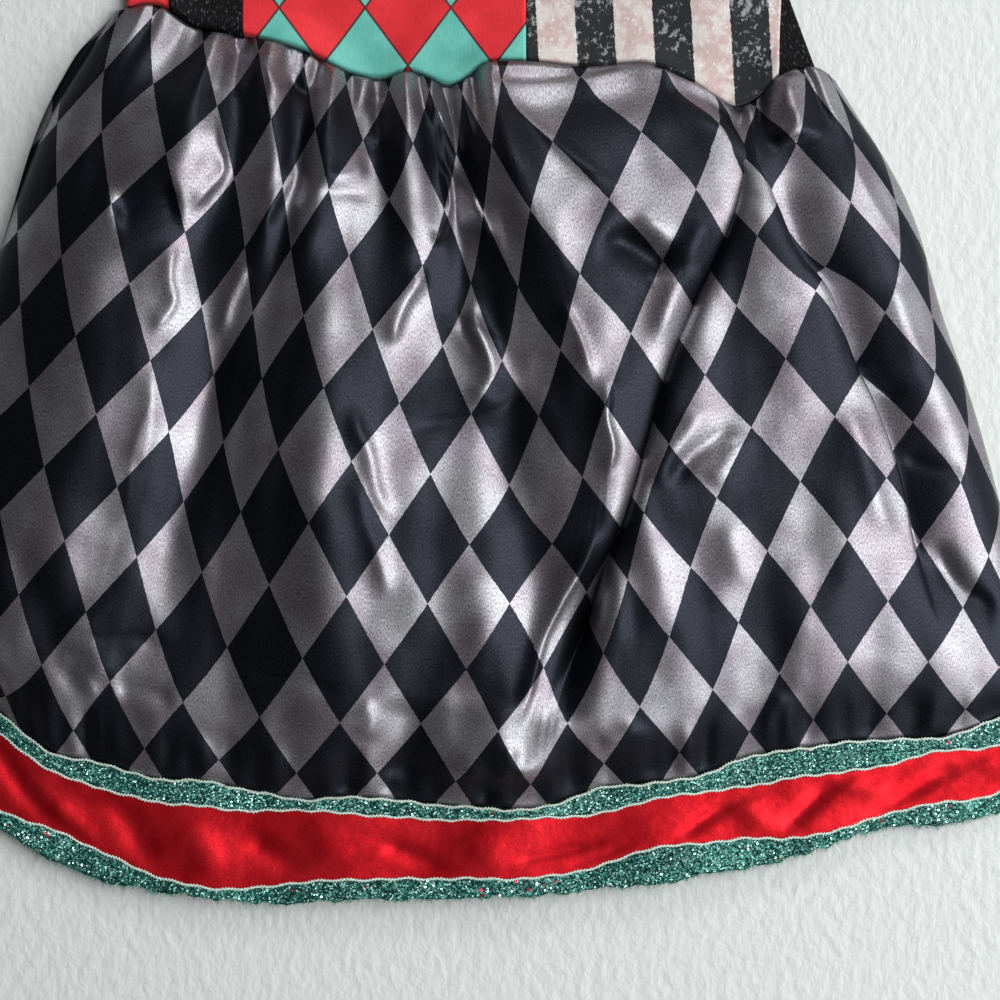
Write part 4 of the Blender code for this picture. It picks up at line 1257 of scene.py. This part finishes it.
def glitter_base():
    made, tree = new_material("Teal glitter ribbon")
    place = object_in_mm(tree)
    cells = add(tree, "ShaderNodeTexVoronoi", {"Vector": place, "Scale": 1 / GLITTER_GRAIN_MM})
    share = add(tree, "ShaderNodeSeparateColor", {0: cells.outputs["Color"]})
    tones = add(tree, "ShaderNodeValToRGB", {0: share}, stops=GLITTER_TONES)
    patches = clouds(tree, place, 16, (0.35, (0.62, 0.66, 0.66, 1)), (0.65, (1.05, 1.05, 1.05, 1)))
    base = add(tree, "ShaderNodeMix", {
        0: 1.0, 6: tones, 7: patches,
    }, data_type="RGBA", blend_type="MULTIPLY")
    centred = add(tree, "ShaderNodeVectorMath", {
        0: cells.outputs["Color"],
        1: (2 * GLITTER_TILT, 2 * GLITTER_TILT, 0.0),
        2: (-GLITTER_TILT, -GLITTER_TILT, 0.0),
    }, operation="MULTIPLY_ADD")
    facing = add(tree, "ShaderNodeNewGeometry").outputs["Normal"]
    tilted = add(tree, "ShaderNodeVectorMath", {0: centred, 1: facing}, operation="ADD")
    normal = add(tree, "ShaderNodeVectorMath", {0: tilted}, operation="NORMALIZE")
    return finished(made, base, [], {"Normal": normal, "Roughness": 0.32, "Metallic": 0.35})


def plain(name, hex_code, grain_mm, tone_step, bump_mm, roughness, metallic=0.0):
    """A fibre or film of one colour, a little uneven in tone and surface."""
    made, tree = new_material(name)
    grain = noise_at(tree, object_in_mm(tree), grain_mm)
    base = grained(tree, colour(hex_code), grain, (0.3, 1 - tone_step), (0.7, 1 + tone_step))
    return finished(
        made, base, [(grain, bump_mm, 0.7)], {"Roughness": roughness, "Metallic": metallic},
    )


glitter = glitter_base()
flake_bright = plain("Polyester glitter, mint", "c9fff0", 3.0, 0.15, 0.01, 0.18, 0.8)
flake_dark = plain("Polyester glitter, deep teal", "17675f", 3.0, 0.3, 0.01, 0.2, 0.8)
flake_red = plain("Polyester glitter, stray red", "b8324a", 3.0, 0.2, 0.01, 0.3, 0.5)
ribbon_yarn = plain("Ribbon yarn, teal", "4f9d92", 0.8, 0.3, 0.05, 0.7)
overlock_thread = plain("Overlock thread, pale mint", "d2e4da", 0.8, 0.25, 0.05, 0.75)
black_jersey = plain("Black polyester jersey", "111114", 0.9, 0.25, 0.06, 0.8)
print("materials so far:", len(bpy.data.materials))

# %% [markdown]
# ## Printed stretch cloth
# The bodice is brushed polyester jersey: matt, with a fine vertical knit. On the left it carries
# red and teal diamonds with a thin dark outline. A checker turned by 45 degrees gives the diamonds,
# and the distance to a square's nearest edge gives the outline.

# %% Harlequin jersey
KNIT_MM = 0.8  # real knit ribs are nearer 0.5 mm; coarser here, so that they show
HARLEQUIN_HALF = (17.3, 23.5)  # half a diamond across and half of one up
HARLEQUIN_CORNER = (-23.0, 39.5)  # a place on the table where four diamonds meet
HARLEQUIN_OUTLINE_MM = 0.8
OUTLINE_BLUR = 0.006  # of a square


def jersey(made, base, place, roughness):
    """Ends a jersey's material: fine vertical ribs on soft unevenness, with a fuzz of fibres."""
    tree = made.node_tree
    ribs = noise_at(tree, place, KNIT_MM, 1.0, stretch=(1, 0.25, 1))
    return finished(
        made, grained(tree, base, ribs, (0.3, 0.93), (0.7, 1.07)),
        [(noise_at(tree, place, 12), 1.0, 0.3), (ribs, 0.1, 0.7)],
        {"Roughness": roughness, "Sheen Weight": 0.15},
    )


def harlequin():
    made, tree = new_material("Harlequin jersey, red and teal")
    place = cut_in_mm(tree, TABLE_SIZE, TABLE_SIZE, TABLE_CORNER)
    from_corner = add(tree, "ShaderNodeVectorMath", {
        0: place, 1: (*HARLEQUIN_CORNER, 0),
    }, operation="SUBTRACT")
    squares = add(tree, "ShaderNodeMapping", {
        0: from_corner,
        "Scale": (HALF_DIAGONAL / HARLEQUIN_HALF[0], HALF_DIAGONAL / HARLEQUIN_HALF[1], 1),
        "Rotation": (0, 0, EIGHTH_TURN),
        "Location": (0, 0, 0.5),
    })
    diamonds = add(tree, "ShaderNodeTexChecker", {
        "Vector": squares, "Scale": 1.0, 1: NO, 2: YES,
    })
    reds = clouds(tree, place, 30, (0.35, colour("cf101d")), (0.6, colour("ea2630")))
    teals = clouds(tree, place, 20, (0.35, colour("55b3a5")), (0.6, colour("6fc8ba")))
    printed = add(tree, "ShaderNodeMix", {0: diamonds, 6: reds, 7: teals}, data_type="RGBA")
    in_square = add(tree, "ShaderNodeVectorMath", {0: squares}, operation="FRACTION")
    from_middle = add(tree, "ShaderNodeVectorMath", {
        0: in_square, 1: (0.5, 0.5, 0.5),
    }, operation="SUBTRACT")
    away = add(tree, "ShaderNodeVectorMath", {0: from_middle}, operation="ABSOLUTE")
    axes = add(tree, "ShaderNodeSeparateXYZ", {0: away})
    nearest = add(tree, "ShaderNodeMath", {0: axes, 1: axes.outputs[1]}, operation="MAXIMUM")
    thin = 0.5 - HARLEQUIN_OUTLINE_MM / 2 / (HARLEQUIN_HALF[0] * math.sqrt(2))
    outline = add(tree, "ShaderNodeMapRange", {
        0: nearest, 1: thin - OUTLINE_BLUR, 2: thin + OUTLINE_BLUR,
    })
    lined = add(tree, "ShaderNodeMix", {
        0: outline, 6: printed, 7: colour("4f1a1f"),
    }, data_type="RGBA")
    return jersey(made, lined, place, 0.72)


harlequin_cloth = harlequin()
print(harlequin_cloth.name, "has", len(harlequin_cloth.node_tree.nodes), "nodes")

# %% [markdown]
# On the right the jersey has black stripes on dusty pink, printed worn: the stripes' edges are
# ragged, and flecks show where the ink looks rubbed away. One noise sets the flecks of both
# colours, and a broader one gathers those of the black into patches.

# %% Striped jersey
STRIPE_MM, FIRST_STRIPE_MM = 15.6, 30.2  # each stripe's width, and where a black one ends
STRIPE_SHIFT = 0.08  # of a pair of stripes, which makes up for the lean and the ragged edges
STRIPE_LEAN = 0.055  # the stripes lean this far left for each millimetre up
RAGGED_MM = 1.6  # how far noise moves a stripe's edge
PATCH_SHARE = 0.45  # how much the broad noise counts beside the fine one


def worn_stripes():
    made, tree = new_material("Worn striped jersey")
    place = cut_in_mm(tree, TABLE_SIZE, TABLE_SIZE, TABLE_CORNER)
    axes = add(tree, "ShaderNodeSeparateXYZ", {0: place})
    lean = add(tree, "ShaderNodeMath", {
        0: axes.outputs[1], 1: STRIPE_LEAN, 2: axes,
    }, operation="MULTIPLY_ADD")
    ragged = noise_at(tree, place, 2.2, 3.0, rough=0.7)
    shifted = add(tree, "ShaderNodeMath", {
        0: ragged, 1: RAGGED_MM, 2: lean,
    }, operation="MULTIPLY_ADD")
    counted = add(tree, "ShaderNodeMath", {
        0: shifted, 1: 1 / (2 * STRIPE_MM), 2: -FIRST_STRIPE_MM / (2 * STRIPE_MM) - STRIPE_SHIFT,
    }, operation="MULTIPLY_ADD")
    share = add(tree, "ShaderNodeMath", {0: counted}, operation="FRACT")
    is_black = add(tree, "ShaderNodeMath", {0: share, 1: 0.5}, operation="GREATER_THAN")
    flecks = noise_at(tree, place, 2.4, 3.0, stretch=(1, 0.8, 1), rough=0.7)
    worn = add(tree, "ShaderNodeMath", {
        0: noise_at(tree, place, 12, 1.0), 1: PATCH_SHARE, 2: flecks,
    }, operation="MULTIPLY_ADD")
    rubbed = add(tree, "ShaderNodeValToRGB", {0: worn}, stops=((0.775, NO), (0.87, YES)))
    bleached = add(tree, "ShaderNodeValToRGB", {0: flecks}, stops=((0.57, NO), (0.66, YES)))
    pinks = clouds(
        tree, place, 8, (0.44, colour("cbb3b0")), (0.56, colour("d9d2cd")), detail=4.0, rough=0.6,
    )
    dark = add(tree, "ShaderNodeMix", {
        0: rubbed, 6: colour("13171a"), 7: colour("969a9b"),
    }, data_type="RGBA")
    pale = add(tree, "ShaderNodeMix", {
        0: bleached, 6: pinks, 7: colour("e6e4e0"),
    }, data_type="RGBA")
    striped = add(tree, "ShaderNodeMix", {0: is_black, 6: pale, 7: dark}, data_type="RGBA")
    return jersey(made, striped, place, 0.78)


striped_cloth = worn_stripes()
print(striped_cloth.name, "has", len(striped_cloth.node_tree.nodes), "nodes")

# %% [markdown]
# ## Ribbed elastic
# Rubber cores wrapped in black yarn, woven side by side: fine ribs along the strap, crossed by
# short floats. It is matt. Its few bright points are painted highlights: the floats' noise gives
# them a pale grey in the colour, where a filament would face the light.

# %% Elastic
STRAP_LENGTH = 240.0  # of cloth that the print of both straps is scaled to
RIB_SCALE = 0.28  # a Wave Texture repeats every 0.314 units, so the ribs are 1.12 mm apart
RIB_SHARE = 0.15  # the ribs' share of the relief, beside the floats


def ribbed_elastic():
    made, tree = new_material("Black ribbed elastic")
    place = cut_in_mm(tree, STRAP_WIDTH, STRAP_LENGTH)
    ribs = add(tree, "ShaderNodeTexWave", {
        "Vector": place, "Scale": RIB_SCALE, "Distortion": 1.5, "Detail": 1.0, "Detail Scale": 2.0,
    }, bands_direction="X")
    floats = noise_at(tree, place, 0.9, stretch=(1, 0.5, 1))
    height = add(tree, "ShaderNodeMath", {
        0: ribs.outputs["Fac"], 1: RIB_SHARE, 2: floats,
    }, operation="MULTIPLY_ADD")
    # The palest stop is a painted highlight: glints of the yarn, put into the colour and not left to
    # the light.
    tones = add(tree, "ShaderNodeValToRGB", {0: floats}, stops=(
        (0.45, colour("040405")), (0.60, colour("101114")), (0.72, colour("5a5c62")),
    ))
    return finished(
        made, tones, [(height, 0.25, 1.0)], {"Roughness": 0.6, "Specular IOR Level": 0.15},
    )


elastic = ribbed_elastic()
print(elastic.name, "has", len(elastic.node_tree.nodes), "nodes")

# %% [markdown]
# ## Pieces, walls and finishes
# Each piece stands for one plain wall and has one finish. One table says which, with the size that
# the piece was cut to in millimetres, how it is held and what it rests on.

# %% Pieces and their finishes
FINISHES = {
    "skirt_satin": satin, "red_satin": red, "glitter_ribbon": glitter, "black_elastic": elastic,
    "harlequin_jersey": harlequin_cloth, "striped_jersey": striped_cloth,
    "black_jersey": black_jersey,
}
covers = [
    (skirt_front, "skirt_front", "skirt_satin", (CUT_WIDTH, CUT_LENGTH), "gathered", ["skirt_back"]),
    (skirt_back, "skirt_back", "skirt_satin", (CUT_WIDTH, CUT_LENGTH), "gathered", []),
    (bodice_left, "bodice_front_harlequin", "harlequin_jersey", (163, 250), "laid", ["bodice_back"]),
    (bodice_right, "bodice_front_stripes", "striped_jersey", (117, 260), "laid", ["bodice_back"]),
    (bodice_back, "bodice_back", "black_jersey", (268, 262), "laid", []),
    (strap_left, "strap_left", "black_elastic", (STRAP_WIDTH, 237), "laid", ["bodice_front_harlequin"]),
    (strap_right, "strap_right", "black_elastic", (STRAP_WIDTH, 256), "laid", ["bodice_back"]),
]
for (name, side), piece in border.items():
    slot, depth = STRIPS[name][2:]
    covers.append((piece, f"hem_{name}_{side}", slot, (CUT_WIDTH, depth), "laid", []))
for piece, _, slot, *_ in covers:
    piece.data.materials.append(FINISHES[slot])
print("pieces that stand for walls:", len(covers))

# %% [markdown]
# ## Overlocked edges
# Pale thread wraps each edge of the glitter ribbon: small slanted stitches, side by side. One
# stitch is a short thick thread, and Geometry Nodes set hundreds of them along a line. The line
# is a mesh of points that follow the edge, so the same tree serves all of them.


# %% A tree for stitches along a line
def new_tree(name, **inputs):
    """A Geometry Nodes tree with named number inputs, and what it is given through them."""
    tree = bpy.data.node_groups.new(name, "GeometryNodeTree")
    tree.interface.new_socket("Geometry", in_out="INPUT", socket_type="NodeSocketGeometry")
    tree.interface.new_socket("Geometry", in_out="OUTPUT", socket_type="NodeSocketGeometry")
    for label, value in inputs.items():
        kind = "NodeSocketInt" if isinstance(value, int) else "NodeSocketFloat"
        tree.interface.new_socket(label, in_out="INPUT", socket_type=kind).default_value = value
    return tree, tree.nodes.new("NodeGroupInput").outputs


def end_tree(tree, geometry, material):
    """Realize Instances and Set Material, which every tree here ends in."""
    real = add(tree, "GeometryNodeRealizeInstances", {0: geometry})
    painted = add(tree, "GeometryNodeSetMaterial", {"Geometry": real, "Material": material})
    add(tree, "NodeGroupOutput", {0: painted})
    return tree


def grown(name, mesh, tree, **values):
    """Runs a tree on a mesh and returns the result as a plain piece."""
    piece = in_scene(name, mesh)
    modifier = piece.modifiers.new("Growth", "NODES")
    modifier.node_group = tree
    identifiers = {socket.name: socket.identifier for socket in tree.interface.items_tree}
    for label, value in values.items():
        modifier[identifiers[label]] = value
    return made_real(piece)


def line_mesh(name, points):
    mesh = bpy.data.meshes.new(name)
    edges = [(i, i + 1) for i in range(len(points) - 1)]
    mesh.from_pydata((points * MM).tolist(), edges, [])
    return mesh


def even_line(tree, given):
    """The line that the tree is given, as a curve with a point at every step of `Spacing`."""
    curve = add(tree, "GeometryNodeMeshToCurve", {0: given["Geometry"]})
    return add(tree, "GeometryNodeResampleCurve", {
        0: curve, "Length": given["Spacing"],
    }, mode="LENGTH")


STITCH_JITTER = 0.25  # radians


def stitch_tree(material):
    tree, given = new_tree(
        "Stitches along a line",
        Spacing=0.0013, Length=0.0016, Radius=0.00032, Slant=0.9, Core=0.00035, Seed=3,
    )
    even = even_line(tree, given)
    thread = add(tree, "GeometryNodeMeshCylinder", {
        "Vertices": 5, "Side Segments": 1, "Radius": given["Radius"], "Depth": given["Length"],
    })
    laid = add(tree, "GeometryNodeTransform", {0: thread, "Rotation": (0, math.radians(90), 0)})
    tangent = add(tree, "GeometryNodeInputTangent")
    aligned = add(tree, "FunctionNodeAlignRotationToVector", {"Vector": tangent}, axis="Y")
    jitter = add(tree, "FunctionNodeRandomValue", {
        2: -STITCH_JITTER, 3: STITCH_JITTER, "Seed": given["Seed"],
    }, data_type="FLOAT")
    slant = add(tree, "ShaderNodeMath", {0: given["Slant"], 1: jitter}, operation="ADD")
    turn = add(tree, "ShaderNodeCombineXYZ", {2: slant})
    turned = add(tree, "FunctionNodeRotateRotation", {0: aligned, 1: turn}, rotation_space="LOCAL")
    placed = add(tree, "GeometryNodeInstanceOnPoints", {
        "Points": even, "Instance": laid, "Rotation": turned,
    })
    ring = add(tree, "GeometryNodeCurvePrimitiveCircle", {"Resolution": 6, "Radius": given["Core"]})
    core = add(tree, "GeometryNodeCurveToMesh", {0: even, 1: ring, "Fill Caps": True})
    both = add(tree, "GeometryNodeJoinGeometry")
    for part in (placed, core):
        tree.links.new(part.outputs[0], both.inputs[0])
    return end_tree(tree, both, material)


stitches = stitch_tree(overlock_thread)
print("stitches:", len(stitches.nodes), "nodes")

# %% [markdown]
# The line of each edge comes from the border's own function, so the thread lies on the ribbon
# wherever the ribbon goes. It is never quite straight, because a machine follows a soft edge.

# %% Overlocked edges
SIDES = (("front", True), ("back", False))
EDGE_POINTS = 900
THREAD_LIFT_FRONT, THREAD_LIFT_BACK = 0.25, 0.9  # mm over the front's face, and over the table
THREAD_WAVES = ((0.3, 0.31), (0.2, 0.127))  # mm off the line, turn from each point to the next


def edge_line(part, front, lift, at):
    """A border strip's upper edge, where `at` is 0, or its lower edge, where it is 1."""
    columns = np.linspace(LEFT_SEAM, RIGHT_SEAM, EDGE_POINTS)
    line = border_points(columns, part, 2, front)[at]
    line[:, 2] += lift
    return line


threads = []
for label, part, at in (("upper", 0, 0), ("middle", 1, 0), ("lower", 1, 1)):
    for side, front in SIDES:
        line = edge_line(part, front, THREAD_LIFT_FRONT if front else THREAD_LIFT_BACK, at)
        line[:, 1] += sum(off * np.sin(np.arange(EDGE_POINTS) * turn) for off, turn in THREAD_WAVES)
        name = f"overlock_{label}_{side}"
        threads.append(grown(name, line_mesh(name, line), stitches))
print("overlocked edges:", len(threads), "with", sum(len(t.data.polygons) for t in threads), "faces")

# %% [markdown]
# ## Glitter flakes
# The larger flakes lie on the ribbon at all angles, so some flash and some stay dark. Distribute
# Points on Faces scatters them, and a selection keeps them to the side that shows. Where the
# ribbon is worn, in patches, it has lost most of them.

# %% Flakes
WORN_PATCH = 0.009  # how wide the worn patches are, in metres
WORN_FROM, WORN_TO, FEWEST, MOST = 0.44, 0.6, 0.05, 1.6  # noise, and the flakes' density as a share
FACES_UP = 0.6  # least height of a face's normal where flakes lie
FLAKE_LIFT, SMALLEST_FLAKE, LARGEST_FLAKE = 0.00018, 0.5, 1.3
HALF_TURN = 3.14  # in radians, so a flake may point any way


def flake_tree(material):
    tree, given = new_tree("Flakes on cloth", Density=300000.0, Size=0.00038, Tilt=0.5, Seed=5)
    up = add(tree, "ShaderNodeSeparateXYZ", {0: add(tree, "GeometryNodeInputNormal")}).outputs[2]
    shows = add(tree, "FunctionNodeCompare", {
        0: up, 1: FACES_UP,
    }, data_type="FLOAT", operation="GREATER_THAN")
    worn = add(tree, "ShaderNodeTexNoise", {
        "Vector": add(tree, "GeometryNodeInputPosition"), "Scale": 1 / WORN_PATCH, "Detail": 1.0,
    })
    left = add(tree, "ShaderNodeMapRange", {0: worn, 1: WORN_FROM, 2: WORN_TO, 3: FEWEST, 4: MOST})
    density = add(tree, "ShaderNodeMath", {0: left, 1: given["Density"]}, operation="MULTIPLY")
    points = add(tree, "GeometryNodeDistributePointsOnFaces", {
        "Mesh": given["Geometry"], "Selection": shows, "Density": density, "Seed": given["Seed"],
    }, distribute_method="RANDOM")
    flake = add(tree, "GeometryNodeMeshCircle", {
        "Vertices": 4, "Radius": given["Size"],
    }, fill_type="NGON")
    low = add(tree, "ShaderNodeMath", {0: given["Tilt"], 1: -1.0}, operation="MULTIPLY")
    turn = add(tree, "FunctionNodeRandomValue", {
        0: add(tree, "ShaderNodeCombineXYZ", {0: low, 1: low, 2: -HALF_TURN}),
        1: add(tree, "ShaderNodeCombineXYZ", {0: given["Tilt"], 1: given["Tilt"], 2: HALF_TURN}),
        "Seed": given["Seed"],
    }, data_type="FLOAT_VECTOR")
    size = add(tree, "FunctionNodeRandomValue", {
        2: SMALLEST_FLAKE, 3: LARGEST_FLAKE, "Seed": given["Seed"],
    }, data_type="FLOAT")
    raised = add(tree, "ShaderNodeVectorMath", {
        0: points.outputs["Normal"], "Scale": FLAKE_LIFT,
    }, operation="SCALE")
    lifted = add(tree, "GeometryNodeSetPosition", {"Geometry": points, "Offset": raised})
    turned = add(tree, "FunctionNodeRotateRotation", {
        0: points.outputs["Rotation"], 1: turn,
    }, rotation_space="LOCAL")
    placed = add(tree, "GeometryNodeInstanceOnPoints", {
        "Points": lifted, "Instance": flake, "Rotation": turned, "Scale": size,
    })
    return end_tree(tree, placed, material)


FIRST_SEED = 11
flakes = []
for kind, material, upper, lower in (  # density and size on the upper and the lower ribbon
    ("mint", flake_bright, (300000.0, 0.00036), (190000.0, 0.00046)),
    ("dark", flake_dark, (300000.0, 0.00038), (260000.0, 0.0004)),
    ("red", flake_red, (1500.0, 0.0008), (7000.0, 0.0008)),
):
    tree = flake_tree(material)
    for strip, (density, size) in (("glitter_upper", upper), ("glitter_lower", lower)):
        flakes.append(grown(
            f"flakes_{kind}_{strip}", border[strip, "front"].data.copy(), tree,
            Density=density, Size=size, Seed=FIRST_SEED + len(flakes),
        ))
print("flakes:", sum(len(f.data.polygons) for f in flakes))

# %% [markdown]
# ## Frayed ends
# The lowest ribbon is cut and not hemmed, so short ends of its yarn stick out along the raw edge,
# each at its own angle and length.

# %% Frayed ends along the raw edge
FRAY_LIFT_FRONT, FRAY_LIFT_BACK = -0.3, 1.0  # mm over the front's face, and over the table
FRAY_TURNS = ((-0.15, 0.0, -1.1), (0.25, 0.0, 1.1))  # radians
SHORTEST_FRAY, LONGEST_FRAY = 0.3, 1.3


def fray_tree(material):
    tree, given = new_tree("Frayed ends", Spacing=0.0008, Length=0.0016, Radius=0.00012, Seed=9)
    yarn = add(tree, "GeometryNodeMeshCone", {
        "Vertices": 4, "Radius Top": 0.00004, "Radius Bottom": given["Radius"],
        "Depth": given["Length"],
    })
    down = add(tree, "GeometryNodeTransform", {0: yarn, "Rotation": (math.radians(90), 0, 0)})
    turn = add(tree, "FunctionNodeRandomValue", {
        0: FRAY_TURNS[0], 1: FRAY_TURNS[1], "Seed": given["Seed"],
    }, data_type="FLOAT_VECTOR")
    size = add(tree, "FunctionNodeRandomValue", {
        2: SHORTEST_FRAY, 3: LONGEST_FRAY, "Seed": given["Seed"],
    }, data_type="FLOAT")
    placed = add(tree, "GeometryNodeInstanceOnPoints", {
        "Points": even_line(tree, given), "Instance": down, "Scale": size,
        "Rotation": add(tree, "FunctionNodeEulerToRotation", {0: turn}),
    })
    return end_tree(tree, placed, material)


fray = fray_tree(ribbon_yarn)
frays = []
for side, front in SIDES:
    line = edge_line(len(STRIPS) - 1, front, FRAY_LIFT_FRONT if front else FRAY_LIFT_BACK, 1)
    name = f"frayed_edge_{side}"
    frays.append(grown(name, line_mesh(name, line), fray))
print("frayed ends:", sum(len(f.data.polygons) for f in frays), "faces")

# %% [markdown]
# ## Table
# The dress lies on a pale, painted board. Its slight roughness is bump from one noise, a little
# stretched as brushed paint is. The board isn't part of the dress, so it is marked as stage.

# %% Table
TABLE_HALF, TABLE_GAP = 4.0, 0.0002


def board():
    made, tree = new_material("Painted board, pale")
    grain = noise_at(tree, object_in_mm(tree), 4.5, 3.0, stretch=(1, 0.7, 1))
    return finished(made, colour("dfe4e2"), [(grain, 1.0, 0.8)], {"Roughness": 0.45})


corners = [
    (x * TABLE_HALF, y * TABLE_HALF, -TABLE_GAP) for x, y in ((-1, -1), (1, -1), (1, 1), (-1, 1))
]
table_mesh = bpy.data.meshes.new("table")
table_mesh.from_pydata(corners, [], [(0, 1, 2, 3)])
table_mesh.materials.append(board())
table = in_scene("table", table_mesh)
table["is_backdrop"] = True
print(f"table: {2 * TABLE_HALF:.0f} m wide")

# %% [markdown]
# ## Light
# A large soft light stands at the right, as a window does. A small lamp at the far side lights the
# tops of the gathers, and a weaker one stands at the near right corner. The room's glow is dim on
# the left and brighter to the right, so slopes that face left stay dark.


# %% Lights
def soft_light(name, place, size, power, aim=(0.0, -0.1, 0.0)):
    data = bpy.data.lights.new(name, "AREA")
    data.shape = "DISK"
    data.size = size
    data.energy = power
    light = in_scene(name, data)
    light.location = place
    light.rotation_euler = (Vector(aim) - Vector(place)).to_track_quat("-Z", "Y").to_euler()


soft_light("window", (1.25, -0.1, 1.25), 1.8, 28)
soft_light("far_side", (0.35, 1.15, 0.85), 0.5, 5)
soft_light("near_side", (0.9, -1.05, 1.05), 0.7, 3)

GLOW = (  # from the far left, 0, to the far right, 1
    (0.25, (0.07, 0.07, 0.07, 1)), (0.5, (0.21, 0.21, 0.215, 1)), (0.8, (0.44, 0.44, 0.44, 1)),
)
world = bpy.data.worlds.new("Room")
bpy.context.scene.world = world
world.use_nodes = True
tree = world.node_tree
tree.nodes.clear()
direction = add(tree, "ShaderNodeTexCoord").outputs["Generated"]
sideways = add(tree, "ShaderNodeSeparateXYZ", {0: direction})
share = add(tree, "ShaderNodeMath", {0: sideways, 1: 0.5, 2: 0.5}, operation="MULTIPLY_ADD")
glow = add(tree, "ShaderNodeValToRGB", {0: share}, stops=GLOW)
add(tree, "ShaderNodeOutputWorld", {0: add(tree, "ShaderNodeBackground", {0: glow, 1: 1.0})})
bpy.context.scene.view_settings.view_transform = "Standard"
print("lights:", len(bpy.data.lights), "and the room's glow")

# %% [markdown]
# ## Camera
# The camera looks straight down on the skirt. It stands far away with a long lens, which keeps the
# print true at the edges of the view.

# %% Camera
VIEW_CENTRE, VIEW_WIDTH, CAMERA_HEIGHT = (0.014, -0.1352), 0.400, 2.6
VIEW_LEVEL = 0.02  # the height over the table at which the view is just that wide
SENSOR = 36.0
camera_data = bpy.data.cameras.new("camera")
camera_data.sensor_width = SENSOR
camera_data.lens = SENSOR * (CAMERA_HEIGHT - VIEW_LEVEL) / VIEW_WIDTH
camera = in_scene("camera", camera_data)
camera.location = (*VIEW_CENTRE, CAMERA_HEIGHT)
bpy.context.scene.camera = camera
print(f"camera: {camera_data.lens:.0f} mm lens, {CAMERA_HEIGHT} m up")

# %% [markdown]
# ## Handing over
# Every piece rides on the one body, and the plain wall that each sewn piece stands for is hidden.
# The threads, flakes and frayed ends ride on the body too.

# %% Riding on the body
for piece, node_name, slot, (wide, long), held, rests in covers:
    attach(piece, "root")
    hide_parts(node_name)
for piece in threads + flakes + frays:
    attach(piece, "root")
print("pieces on the body:", len(covers) + len(threads + flakes + frays))

# %% [markdown]
# Last, the size of the box of the plain walls and that of the finished dress are printed. Cloth
# stands a little proud of its wall.

# %% The model's box, before and after
visual_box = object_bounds()
for label, (low, high) in (("walls", cad_box), ("shells", visual_box)):
    print(label, [round(v * 1000, 1) for v in high - low], "mm")
